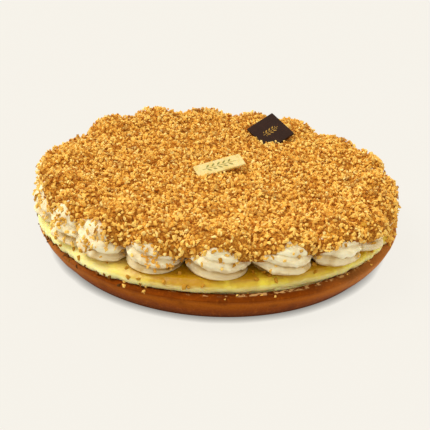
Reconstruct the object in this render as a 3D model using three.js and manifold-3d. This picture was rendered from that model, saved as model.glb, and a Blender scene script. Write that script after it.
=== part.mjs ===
// A whole cream tart: a shallow baked shell, a custard filling that stands above its rim, a bed of cream
// inside a ring of piped rosettes, a coat of chopped caramelised nuts and two flat chocolate pieces.
//
// Millimetres, +Z up. The origin is the centre of the shell's flat underside, and -Y is the front.

import * as THREE from 'three';
import { mergeVertices } from 'three/addons/utils/BufferGeometryUtils.js';
import Module from 'manifold-3d';

const wasm = await Module();
wasm.setup();

// Clearance between pieces that lie against each other.
const GAP = 0.3;

// Joining and cutting leave slivers, which are smoothed away below this size.
const SLIVER = 0.1;

// The filling and everything on it sit a little off the shell's centre, to the back left.
const TOPPING_X = -2;
const TOPPING_Y = 4.5;

// The cream and crumbs are highest at the left and fall evenly from there to the right.
const FALL = { slope: 0.042, from: -130 };

const SHELL = {
  baseRadius: 127.4,
  rimRadius: 141,
  rimHeight: 22.4,
  wall: 9.8,
  floor: 5.5,
  lip: 1.4,
  heel: 0.8,
  bulge: 1.6,
  unevenness: 0.35,
  wallRows: 4,
  lipRows: 3,
  columns: 48,
};

const CUSTARD = {
  radius: 139,
  widening: 2.5,
  top: 31,
  edge: 5,
  bulge: 1.2,
  unevenness: 0.45,
  edgeRows: 4,
  columns: 44,
  strays: 12,
};

const ROSETTE = {
  count: 19,
  start: -1.506,
  ringRadius: 119.5,
  radius: 22.5,
  radiusJitter: 3.5,
  radiusSeed: 1125435,
  height: 31,
  heightJitter: 0.2,
  heightSeed: 1266282,
  footShare: 0.76,
  waist: 0.3,
  roundness: 2.2,
  squareness: 3.8,
  inwardDip: 6,
  folds: 4,
  foldDepth: 4,
  foldLean: 3.4,
  crowding: 0.1,
  twist: 0.12,
  angleJitter: 0.045,
  angleSeed: 574655,
  columns: 12,
  columnCrowding: 0.28,
};

// Some rosettes at the front stand a little out of step with the others, by these angles.
const OUT_OF_STEP = { 1: -0.042, 2: 0.045, 16: -0.05, 17: -0.06, 18: -0.07 };

// One rosette at the back left has sunk.
const SUNKEN = { index: 13, by: 5 };

const BED = { radius: 97, top: 56.6, edge: 2, columns: 34 };

const COAT = {
  thickness: 3.4,
  edgeShare: 0.7,
  lineFront: 0.84,
  lineCleft: 0.38,
  dropLeft: 0.3,
  dropRight: 0.75,
  raggedness: 0.1,
  roughness: 0.65,
  capRows: 4,
  capColumns: 12,
  middleRadius: 130,
  middleTop: 60,
  middleSink: 2,
  cleftFill: 6,
  middleRows: 6,
  middleColumns: 32,
  swell: 0.9,
  middleCrumbs: 40,
  capCrumbs: 2,
};

const CRUMB = { largest: 2.5, smallest: 1.7, slimmest: 0.62 };

const PLAQUE = {
  side: 29.2,
  thickness: 2.2,
  corner: 0.8,
  at: [43, 77.2, 58.8],
  turn: [23.8, -19.7, 36.7],
};

const STRIP = {
  length: 40.1,
  width: 12.5,
  thickness: 2,
  corner: 1.2,
  at: [-0.4, -4.4, 59.3],
  turn: [20, -7.7, 25.5],
};

const PLATE_BEVEL = 0.4;

const FINISH = {
  crust: { color: 0x99591f, roughness: 0.72 },
  custard: { color: 0xecca4f, roughness: 0.38 },
  cream: { color: 0xf5ecd0, roughness: 0.55 },
  crumb: { color: 0xd59b44, roughness: 0.6 },
  darkChocolate: { color: 0x2a1915, roughness: 0.35 },
  whiteChocolate: { color: 0xeedc96, roughness: 0.45 },
};

const TURN = 2 * Math.PI;

/** A repeatable number from 0 to 1 for an index. */
function scatter(index) {
  const wave = Math.sin((index + 1) * 12.9898) * 43758.5453;
  return wave - Math.floor(wave);
}

/** A slow waver from about -1 to 1 round the tart. */
function waver(angle, phase) {
  const slow = 0.5 * Math.sin(3 * angle + phase);
  return slow + 0.3 * Math.sin(7 * angle + 2 * phase) + 0.2 * Math.sin(11 * angle);
}

/** One ring of points, anticlockwise seen from above. */
function ring(columns, pointAt) {
  return Array.from({ length: columns }, (_, column) => pointAt((column / columns) * TURN, column));
}

/** A closed surface that starts at one point, runs through rings of points and ends at another point. */
function loft(start, rings, end) {
  const columns = rings[0].length;
  const points = [start, ...rings.flat(), end];
  const last = points.length - 1;
  const vertex = (row, column) => 1 + row * columns + (column % columns);
  const faces = [];
  for (let column = 0; column < columns; column += 1) {
    faces.push(0, vertex(0, column + 1), vertex(0, column));
    for (let row = 0; row + 1 < rings.length; row += 1) {
      const [a, b] = [vertex(row, column), vertex(row, column + 1)];
      const [c, d] = [vertex(row + 1, column + 1), vertex(row + 1, column)];
      faces.push(a, b, c, a, c, d);
    }
    faces.push(last, vertex(rings.length - 1, column), vertex(rings.length - 1, column + 1));
  }
  const geometry = new THREE.BufferGeometry().setFromPoints(points);
  geometry.setIndex(faces);
  return geometry;
}

/** The closed solid inside a geometry, for joining and cutting. */
function toSolid(geometry) {
  const bare = geometry.clone();
  bare.deleteAttribute('normal');
  bare.deleteAttribute('uv');
  const merged = mergeVertices(bare, 1e-4);
  const vertProperties = new Float32Array(merged.attributes.position.array);
  const triVerts = new Uint32Array(merged.index.array);
  return new wasm.Manifold(new wasm.Mesh({ numProp: 3, vertProperties, triVerts }));
}

/** The geometry of a solid's largest body, without the scraps that cutting leaves. */
function toGeometry(solid) {
  const [largest] = solid.simplify(SLIVER).decompose().sort((a, b) => b.volume() - a.volume());
  const { vertProperties, triVerts } = largest.getMesh();
  const geometry = new THREE.BufferGeometry();
  geometry.setAttribute('position', new THREE.BufferAttribute(new Float32Array(vertProperties), 3));
  geometry.setIndex(Array.from(triVerts));
  geometry.computeVertexNormals();
  return geometry;
}

/** All solids of a list joined in one. */
function joined(solids) {
  return solids.reduce((whole, solid) => whole.add(solid));
}

/** A named mesh with a material of its own. */
function piece(name, geometry, finish) {
  const material = new THREE.MeshStandardMaterial({ ...finish, metalness: 0 });
  const mesh = new THREE.Mesh(geometry, material);
  mesh.name = name;
  return mesh;
}

/** A point at a radius and height round the tart's axis, or round the topping's when shifted. */
function around(angle, radius, z, shifted) {
  const x = radius * Math.cos(angle) + (shifted ? TOPPING_X : 0);
  const y = radius * Math.sin(angle) + (shifted ? TOPPING_Y : 0);
  return new THREE.Vector3(x, y, z);
}

/** A point on the cream or crumbs at the height that it has at the far left, sunk as the topping falls. */
function fallen(angle, radius, z) {
  const point = around(angle, radius, z, true);
  point.z -= FALL.slope * (point.x - FALL.from);
  return point;
}

/** The shell's outer radius at a share of its height. */
function shellRadius(share) {
  const flare = SHELL.rimRadius - SHELL.baseRadius;
  return SHELL.baseRadius + flare * share + SHELL.bulge * Math.sin(Math.PI * share);
}

/** The height of that share of the wall. */
function shellHeight(share) {
  return SHELL.heel + (SHELL.rimHeight - SHELL.lip - SHELL.heel) * share;
}

/** The baked shell: a shallow bowl with a bulging, flared wall and a rounded, slightly worn rim. */
function shellGeometry() {
  const rings = [ring(SHELL.columns, (angle) => around(angle, SHELL.baseRadius - SHELL.heel, 0))];
  for (let row = 0; row <= SHELL.wallRows; row += 1) {
    const share = row / SHELL.wallRows;
    rings.push(ring(SHELL.columns, (angle) => {
      const radius = shellRadius(share) + SHELL.unevenness * waver(angle, 2 + 3 * share);
      return around(angle, radius, shellHeight(share));
    }));
  }
  for (let row = 1; row < SHELL.lipRows; row += 1) {
    const sweep = (row / SHELL.lipRows) * Math.PI;
    rings.push(ring(SHELL.columns, (angle) => {
      const worn = SHELL.unevenness * (1 + waver(angle, 1));
      const radius = SHELL.rimRadius - (SHELL.wall / 2) * (1 - Math.cos(sweep));
      return around(angle, radius, shellHeight(1) + (SHELL.lip - worn / 2) * Math.sin(sweep));
    }));
  }
  for (const share of [1, 0.5, SHELL.floor / SHELL.rimHeight]) {
    const radius = shellRadius(share) - SHELL.wall;
    const height = Math.max(shellHeight(share), SHELL.floor);
    rings.push(ring(SHELL.columns, (angle) => around(angle, radius, height)));
  }
  return loft(around(0, 0, 0), rings, around(0, 0, SHELL.floor));
}

/** Radius and height of the custard's rounded edge at a share of it, from the rim up to the flat top. */
function custardEdge(share, angle) {
  const sweep = (share * Math.PI) / 2;
  const underside = SHELL.rimHeight + GAP;
  const bulge = CUSTARD.bulge * Math.sin(Math.PI * Math.min(1, 1.6 * share));
  const widest = CUSTARD.radius + CUSTARD.widening * Math.cos(angle) ** 2;
  const radius = widest - CUSTARD.edge * (1 - Math.cos(sweep)) + bulge - CUSTARD.bulge;
  const z = underside + (CUSTARD.top - underside) * Math.sin(sweep);
  return [radius + CUSTARD.unevenness * waver(angle, 4), z];
}

/** The custard: it fills the shell, stands above the rim with a soft edge and carries some stray crumbs. */
function custardGeometry(creamRoom) {
  const rings = [];
  const floor = SHELL.floor + GAP;
  for (const share of [SHELL.floor / SHELL.rimHeight, 0.5, 1]) {
    const radius = shellRadius(share) - SHELL.wall - GAP;
    const height = Math.max(shellHeight(share), floor);
    rings.push(ring(CUSTARD.columns, (angle) => around(angle, radius, height)));
  }
  const neck = shellRadius(1) - SHELL.wall - GAP;
  rings.push(ring(CUSTARD.columns, (angle) => around(angle, neck, SHELL.rimHeight + GAP)));
  for (let row = 0; row <= CUSTARD.edgeRows; row += 1) {
    rings.push(ring(CUSTARD.columns, (angle) => {
      const [radius, z] = custardEdge(row / CUSTARD.edgeRows, angle);
      return around(angle, radius, z, true);
    }));
  }
  const body = toSolid(loft(around(0, 0, floor), rings, around(0, 0, CUSTARD.top, true)));
  const strays = Array.from({ length: CUSTARD.strays }, (_, index) => {
    const angle = ((index + 0.7 * scatter(700 + index)) / CUSTARD.strays) * TURN;
    const [radius, z] = custardEdge(0.35 + 0.4 * scatter(740 + index), angle);
    return crumbSolid(around(angle, radius, z, true), 800 + index);
  });
  const below = joined(strays).subtract(creamRoom).trimByPlane([0, 0, -1], -CUSTARD.top);
  return toGeometry(body.add(below));
}

/** One angular nut crumb, an uneven eight-sided bit turned any way. */
function crumbSolid(at, index) {
  const size = CRUMB.smallest + (CRUMB.largest - CRUMB.smallest) * scatter(3 * index);
  const slim = (salt) => size * (CRUMB.slimmest + (1 - CRUMB.slimmest) * scatter(5 * index + salt));
  const geometry = new THREE.OctahedronGeometry(1, 0);
  geometry.scale(size, slim(1), slim(2));
  const turn = new THREE.Euler(...[11, 17, 23].map((salt) => TURN * scatter(index + 1000 * salt)));
  geometry.applyMatrix4(new THREE.Matrix4().makeRotationFromEuler(turn).setPosition(at));
  return toSolid(geometry);
}

/** The direction of a rosette from the topping's axis: piped by hand, they stand closer at the front. */
function rosetteAngle(index) {
  const even = (TURN * index) / ROSETTE.count;
  const drift = ROSETTE.crowding * Math.sin(even) + (ROSETTE.twist / 2) * (1 - Math.cos(even));
  const place = (index + ROSETTE.count) % ROSETTE.count;
  const chance = ROSETTE.angleJitter * (2 * scatter(ROSETTE.angleSeed + place) - 1);
  return ROSETTE.start + even - drift + chance + (OUT_OF_STEP[place] ?? 0);
}

/** Where each rosette stands, its room on each side, and its own radius and height. */
function rosetteRing() {
  return Array.from({ length: ROSETTE.count }, (_, index) => {
    const angle = rosetteAngle(index);
    const chance = scatter(ROSETTE.heightSeed + index) - 0.5;
    const sunken = index === SUNKEN.index ? SUNKEN.by : 0;
    const height = ROSETTE.height * (1 + ROSETTE.heightJitter * chance) - sunken;
    return {
      index,
      angle,
      roomBefore: (angle - rosetteAngle(index - 1)) / 2,
      roomAfter: (rosetteAngle(index + 1) - angle) / 2,
      radius: ROSETTE.radius + ROSETTE.radiusJitter * (2 * scatter(ROSETTE.radiusSeed + index) - 1),
      height: fallen(angle, ROSETTE.ringRadius, height).z,
    };
  });
}

/** How far a rosette reaches from its own axis in a direction, between its neighbours and the bed. */
function rosetteReach(rosette, direction, inward) {
  const away = ROSETTE.ringRadius;
  const room = direction < Math.PI ? rosette.roomAfter : rosette.roomBefore;
  const spread = Math.abs(Math.sin(direction)) - Math.cos(direction) * Math.tan(room);
  const side = spread > 0 ? (away * Math.tan(room) - (0.5 * GAP) / Math.cos(room)) / spread : Infinity;
  const across = away * Math.cos(direction);
  const hidden = across * across - away * away + (BED.radius + 2 * GAP) ** 2;
  const bed = across < 0 && hidden > 0 ? -across - Math.sqrt(hidden) : Infinity;
  return Math.min(rosette.radius * (1 + inward), side, bed);
}

/** A point on a rosette, or outside it by grow, in a direction and at a level from foot to peak. */
function rosettePoint(rosette, direction, level, grow, foldDepth) {
  const inward = Math.max(0, -Math.cos(direction));
  const reach = rosetteReach(rosette, direction, inward) + grow;
  const foot = ROSETTE.footShare + (0.98 - ROSETTE.footShare) * inward;
  const power = ROSETTE.roundness + ROSETTE.squareness * inward;
  const rise = Math.max(0, (level - ROSETTE.waist) / (1 - ROSETTE.waist));
  const swell = foot + (1 - foot) * Math.sin((Math.PI / 2) * Math.min(1, level / ROSETTE.waist));
  const share = swell * (1 - rise ** power) ** (1 / power);
  const fold = Math.abs(Math.sin(Math.PI * ROSETTE.folds * level)) - 1;
  const radius = reach * share + foldDepth * fold * (1 - inward) * (1 - level);
  const lean = foldDepth ? -ROSETTE.foldLean * Math.sin(direction) * Math.sin(Math.PI * level) : 0;
  const dip = ROSETTE.inwardDip * inward * share * share * level;
  const z = CUSTARD.top + GAP - grow + (rosette.height + 2 * grow) * level + lean - dip;
  const heading = rosette.angle + direction;
  return around(rosette.angle, ROSETTE.ringRadius, z, true).add(around(heading, radius, 0));
}

/** Directions round a rosette, closer together on its outer side, which shows. */
function rosetteDirection(angle) {
  return angle - ROSETTE.columnCrowding * Math.sin(angle);
}

/** A piped rosette with swirled folds, or the room for it when grown. */
function rosetteGeometry(rosette, grow) {
  const levels = [];
  for (let half = 0; half <= 1.25 * ROSETTE.folds; half += 1) {
    levels.push(half / (2 * ROSETTE.folds));
  }
  levels.push(0.85);
  const pointAt = (direction, level) => rosettePoint(rosette, direction, level, grow, ROSETTE.foldDepth);
  const rings = levels.map((level) => (
    ring(ROSETTE.columns, (angle) => pointAt(rosetteDirection(angle), level))
  ));
  const foot = around(rosette.angle, ROSETTE.ringRadius, CUSTARD.top + GAP - grow, true);
  return loft(foot, rings, pointAt(0, 1));
}

/** The cream inside the ring of rosettes, or the room for it when grown. */
function bedGeometry(grow) {
  const low = CUSTARD.top + GAP - grow;
  const high = BED.top + grow;
  const radius = BED.radius + grow;
  const rings = [
    ring(BED.columns, (angle) => around(angle, radius, low, true)),
    ring(BED.columns, (angle) => fallen(angle, radius, high - BED.edge)),
    ring(BED.columns, (angle) => fallen(angle, radius - BED.edge, high)),
  ];
  return loft(around(0, 0, low, true), rings, fallen(0, 0, high));
}

/** The level at which crumbs on a rosette end: lower in the clefts, and at the left and right. */
function crumbLine(rosette, direction) {
  const cleft = Math.sin(direction) ** 2;
  const across = Math.cos(rosette.angle);
  const front = COAT.lineFront - (across > 0 ? COAT.dropRight : COAT.dropLeft) * Math.abs(across) ** 3;
  const ragged = COAT.raggedness * (scatter(200 + 31 * rosette.index + Math.round(9 * direction)) - 0.5);
  return front + (COAT.lineCleft - front) * cleft + ragged;
}

/** A point on the crumbs over a rosette, at a share of the way from their edge to the peak. */
function capPoint(rosette, direction, share, roughness) {
  const line = crumbLine(rosette, direction);
  const fullness = THREE.MathUtils.lerp(COAT.edgeShare, 1, Math.min(1, 2 * share));
  const thickness = COAT.thickness * fullness * (1 + roughness);
  return rosettePoint(rosette, direction, line + (1 - line) * share, thickness, 0);
}

/** The crumbs over one rosette, as a rough cap. */
function capGeometry(rosette) {
  const rings = [];
  for (let row = 0; row < COAT.capRows; row += 1) {
    const share = 1 - (1 - row / COAT.capRows) ** 1.3;
    rings.push(ring(COAT.capColumns, (angle, column) => {
      const roughness = COAT.roughness * (scatter(97 * rosette.index + 13 * row + column) - 0.5);
      return capPoint(rosette, rosetteDirection(angle), share, roughness);
    }));
  }
  const low = CUSTARD.top + rosette.height * COAT.lineCleft;
  const under = around(rosette.angle, ROSETTE.ringRadius, low, true);
  return loft(under, rings, capPoint(rosette, 0, 1, 0));
}

/** The height of the crumbs in the middle of the tart, gently uneven and sinking at the edge. */
function middleHeight(angle, radius) {
  const edge = THREE.MathUtils.smoothstep(radius, 0.8 * COAT.middleRadius, COAT.middleRadius);
  const swell = Math.cos(5 * angle + 1) * Math.sin((2 * TURN * radius) / COAT.middleRadius);
  return COAT.middleTop + COAT.swell * swell - COAT.middleSink * edge;
}

/** The crumbs over the bed, as a rough disc. */
function middleGeometry() {
  const low = BED.top - COAT.thickness - COAT.cleftFill;
  const rings = [ring(COAT.middleColumns, (angle) => fallen(angle, COAT.middleRadius, low))];
  for (let row = 0; row < COAT.middleRows; row += 1) {
    const radius = COAT.middleRadius * (1 - row / COAT.middleRows);
    rings.push(ring(COAT.middleColumns, (angle, column) => {
      const roughness = COAT.roughness * (scatter(500 + 61 * row + column) - 0.5);
      const relief = roughness * COAT.thickness * Math.sqrt(radius / COAT.middleRadius);
      return fallen(angle, radius, middleHeight(angle, radius) + relief);
    }));
  }
  return loft(fallen(0, 0, low), rings, fallen(0, 0, middleHeight(0, 0)));
}

/** The largest crumbs, spread evenly over the coat. */
function coatCrumbs(rosettes) {
  const golden = Math.PI * (3 - Math.sqrt(5));
  const crumbs = [];
  for (let index = 0; index < COAT.middleCrumbs; index += 1) {
    const radius = BED.radius * Math.sqrt((index + 0.5) / COAT.middleCrumbs);
    const angle = index * golden;
    crumbs.push(crumbSolid(fallen(angle, radius, middleHeight(angle, radius)), index));
  }
  for (const rosette of rosettes) {
    for (let index = 0; index < COAT.capCrumbs; index += 1) {
      const salt = COAT.middleCrumbs + COAT.capCrumbs * rosette.index + index;
      const direction = (index + 0.6 * scatter(salt)) * golden;
      const share = 0.15 + 0.6 * ((index + scatter(salt + 300)) / COAT.capCrumbs);
      crumbs.push(crumbSolid(capPoint(rosette, direction, share, 0), salt));
    }
  }
  return crumbs;
}

/** A flat chocolate plate with softened edges and corners, or the room for it when grown. */
function plateGeometry(length, width, thickness, corner, grow) {
  const [x, y] = [length / 2 + grow - PLATE_BEVEL, width / 2 + grow - PLATE_BEVEL];
  const outline = new THREE.Shape();
  outline.moveTo(-x + corner, -y);
  outline.lineTo(x - corner, -y);
  outline.quadraticCurveTo(x, -y, x, -y + corner);
  outline.lineTo(x, y - corner);
  outline.quadraticCurveTo(x, y, x - corner, y);
  outline.lineTo(-x + corner, y);
  outline.quadraticCurveTo(-x, y, -x, y - corner);
  outline.lineTo(-x, -y + corner);
  outline.quadraticCurveTo(-x, -y, -x + corner, -y);
  const depth = thickness + 2 * grow - 2 * PLATE_BEVEL;
  const bevel = { bevelSize: PLATE_BEVEL, bevelThickness: PLATE_BEVEL, bevelSegments: 1 };
  const geometry = new THREE.ExtrudeGeometry(outline, { depth, curveSegments: 2, ...bevel });
  geometry.translate(0, 0, PLATE_BEVEL - thickness - grow);
  return geometry;
}

/** Sets a plate down where its face's centre lies, turned as it leans. */
function lay(mesh, plate) {
  mesh.position.set(...plate.at);
  mesh.rotation.set(...plate.turn.map(THREE.MathUtils.degToRad), 'ZYX');
  mesh.updateMatrix();
  return mesh;
}

/** The room that a laid plate takes in the crumbs and cream. */
function pocket(mesh, length, width, plate) {
  const room = plateGeometry(length, width, plate.thickness, plate.corner, GAP);
  return toSolid(room.applyMatrix4(mesh.matrix));
}

const rosettes = rosetteRing();

const plaqueShape = plateGeometry(PLAQUE.side, PLAQUE.side, PLAQUE.thickness, PLAQUE.corner, 0);
const plaque = lay(piece('dark_chocolate_plaque', plaqueShape, FINISH.darkChocolate), PLAQUE);

const stripShape = plateGeometry(STRIP.length, STRIP.width, STRIP.thickness, STRIP.corner, 0);
const strip = lay(piece('white_chocolate_strip', stripShape, FINISH.whiteChocolate), STRIP);

const pockets = joined([
  pocket(plaque, PLAQUE.side, PLAQUE.side, PLAQUE),
  pocket(strip, STRIP.length, STRIP.width, STRIP),
]);

const creamRoom = joined([
  toSolid(bedGeometry(GAP)),
  ...rosettes.map((rosette) => toSolid(rosetteGeometry(rosette, GAP))),
]);

const coatBody = joined([
  toSolid(middleGeometry()),
  ...rosettes.map((rosette) => toSolid(capGeometry(rosette))),
  ...coatCrumbs(rosettes),
]).trimByPlane([0, 0, 1], CUSTARD.top + GAP);

const tart = new THREE.Group();
tart.name = 'cream_tart';
tart.add(piece('crust', shellGeometry(), FINISH.crust));
tart.add(piece('custard', custardGeometry(creamRoom), FINISH.custard));
tart.add(piece('cream_bed', toGeometry(toSolid(bedGeometry(0)).subtract(pockets)), FINISH.cream));
for (const rosette of rosettes) {
  const name = `cream_rosette_${String(rosette.index + 1).padStart(2, '0')}`;
  tart.add(piece(name, rosetteGeometry(rosette, 0), FINISH.cream));
}
tart.add(piece('crumb_coat', toGeometry(coatBody.subtract(creamRoom).subtract(pockets)), FINISH.crumb));
tart.add(plaque, strip);

export default tart;
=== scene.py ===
"""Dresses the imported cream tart: crust, custard, piped cream, nut crumbs and two chocolates.

Sizes are in millimetres and become metres when a mesh is made. The origin is the centre of the
shell's underside, +Z is up and -Y is the front.
"""

from __future__ import annotations

import logging
import math
from collections.abc import Callable, Mapping, Sequence
from dataclasses import dataclass, field
from enum import Enum
from typing import ClassVar

import bpy
import numpy as np
from bpy.types import ColorRamp, Material, Mesh, Node, NodeSocket, NodeTree, Object
from mathutils import Euler, Matrix, Vector

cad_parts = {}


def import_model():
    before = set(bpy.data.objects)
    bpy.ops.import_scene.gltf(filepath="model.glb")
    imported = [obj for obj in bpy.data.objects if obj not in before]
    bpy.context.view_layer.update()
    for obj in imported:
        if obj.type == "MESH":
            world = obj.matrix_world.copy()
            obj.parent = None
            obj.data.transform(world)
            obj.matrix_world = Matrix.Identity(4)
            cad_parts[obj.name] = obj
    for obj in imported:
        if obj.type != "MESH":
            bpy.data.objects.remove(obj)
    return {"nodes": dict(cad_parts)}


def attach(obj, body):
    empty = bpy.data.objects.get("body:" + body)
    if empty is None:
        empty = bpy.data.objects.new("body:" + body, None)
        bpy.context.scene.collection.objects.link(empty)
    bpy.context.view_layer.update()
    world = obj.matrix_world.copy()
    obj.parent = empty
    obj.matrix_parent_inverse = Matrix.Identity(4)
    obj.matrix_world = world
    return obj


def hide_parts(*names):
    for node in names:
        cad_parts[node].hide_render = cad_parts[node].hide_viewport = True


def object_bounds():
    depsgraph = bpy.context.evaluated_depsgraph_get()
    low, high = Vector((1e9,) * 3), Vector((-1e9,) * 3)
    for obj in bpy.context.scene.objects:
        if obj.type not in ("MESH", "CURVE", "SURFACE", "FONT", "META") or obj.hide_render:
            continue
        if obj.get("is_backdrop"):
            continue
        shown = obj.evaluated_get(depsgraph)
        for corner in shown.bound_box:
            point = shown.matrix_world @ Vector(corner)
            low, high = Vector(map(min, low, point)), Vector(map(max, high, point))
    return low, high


MM = 0.001
TURN = 2 * math.pi
BODY = "root"

Colour = tuple[float, float, float, float]
Point = tuple[float, float, float]
Span = tuple[float, float]

log = logging.getLogger("cream_tart")


def screen(red: int, green: int, blue: int) -> Colour:
    """Turn a colour as a screen shows it into the linear values that shaders take.

    Args:
        red: Red from 0 to 255.
        green: Green from 0 to 255.
        blue: Blue from 0 to 255.

    Returns:
        The linear colour with full opacity.
    """
    parts = [part / 255 for part in (red, green, blue)]
    linear = [part / 12.92 if part <= 0.04045 else ((part + 0.055) / 1.055) ** 2.4 for part in parts]
    return (linear[0], linear[1], linear[2], 1.0)


def scatter(index: int) -> float:
    """A repeatable number from 0 to 1 for an index."""
    wave = math.sin((index + 1) * 12.9898) * 43758.5453
    return wave - math.floor(wave)


def waver(angle: np.ndarray, phase: float) -> np.ndarray:
    """A slow waver from about -1 to 1 round the tart."""
    slow = 0.5 * np.sin(3 * angle + phase) + 0.3 * np.sin(7 * angle + 2 * phase)
    return slow + 0.2 * np.sin(11 * angle)


def bump(angle: np.ndarray, at: float) -> np.ndarray:
    """A smooth bump from 0 to 1 round one direction, about 30 degrees wide."""
    return np.maximum(np.cos(angle - at), 0) ** 24


@dataclass(frozen=True)
class Lumps:
    """Smooth, seeded unevenness in space: its depth and the width of one lump in mm, and its seed."""

    WAVES: ClassVar[int] = 18
    PACES: ClassVar[Span] = (0.6, 1.4)

    depth: float
    size: float
    seed: int

    def at(self, points: np.ndarray) -> np.ndarray:
        """The unevenness at points.

        Args:
            points: Points in millimetres, with x, y and z last.

        Returns:
            A value of about minus to plus the depth for each point.
        """
        draw = np.random.default_rng(self.seed)
        heading = draw.normal(size=(self.WAVES, 3))
        heading /= np.linalg.norm(heading, axis=1, keepdims=True)
        pace = (math.pi / self.size) * draw.uniform(*self.PACES, self.WAVES)
        phase = draw.uniform(0, TURN, self.WAVES)
        waves = np.sin(points @ (heading * pace[:, None]).T + phase)
        return self.depth * waves.sum(-1) / math.sqrt(1.4 * self.WAVES)


def smoothstep(value: np.ndarray, low: float, high: float) -> np.ndarray:
    """A soft step from 0 at low to 1 at high."""
    share = np.clip((value - low) / (high - low), 0, 1)
    return share * share * (3 - 2 * share)


class Term:
    """A node socket that takes part in Python expressions."""

    def __init__(self, graph: Graph, socket: NodeSocket) -> None:
        """Keep the tree and the socket."""
        self.graph = graph
        self.socket = socket

    def output(self, name: str | int) -> Term:
        """Another output of the same node."""
        return Term(self.graph, self.socket.node.outputs[name])

    def __add__(self, other: Number) -> Term:
        """This plus other."""
        return self.graph.math("ADD", self, other)

    def __radd__(self, other: Number) -> Term:
        """Other plus this."""
        return self.graph.math("ADD", other, self)

    def __sub__(self, other: Number) -> Term:
        """This minus other."""
        return self.graph.math("SUBTRACT", self, other)

    def __rsub__(self, other: Number) -> Term:
        """Other minus this."""
        return self.graph.math("SUBTRACT", other, self)

    def __mul__(self, other: Number) -> Term:
        """This times other."""
        return self.graph.math("MULTIPLY", self, other)

    def __rmul__(self, other: Number) -> Term:
        """Other times this."""
        return self.graph.math("MULTIPLY", other, self)

    def __truediv__(self, other: Number) -> Term:
        """This divided by other."""
        return self.graph.math("DIVIDE", self, other)

    def __rtruediv__(self, other: Number) -> Term:
        """Other divided by this."""
        return self.graph.math("DIVIDE", other, self)

    def __pow__(self, other: Number) -> Term:
        """This to the power of other."""
        return self.graph.math("POWER", self, other)

    def __neg__(self) -> Term:
        """Minus this."""
        return self.graph.math("MULTIPLY", self, -1.0)

    def __abs__(self) -> Term:
        """This without its sign."""
        return self.graph.math("ABSOLUTE", self)

    def __gt__(self, other: Number) -> Term:
        """1 where this is greater than other, else 0."""
        return self.graph.math("GREATER_THAN", self, other)

    def __lt__(self, other: Number) -> Term:
        """1 where this is less than other, else 0."""
        return self.graph.math("LESS_THAN", self, other)


Number = Term | float


@dataclass(frozen=True)
class Grain:
    """A cloudy pattern: a cloud's width in mm, its finer layers, their strength and its stretch."""

    size: float
    detail: float = 2.0
    roughness: float = 0.5
    stretch: Point = (1.0, 1.0, 1.0)


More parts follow.
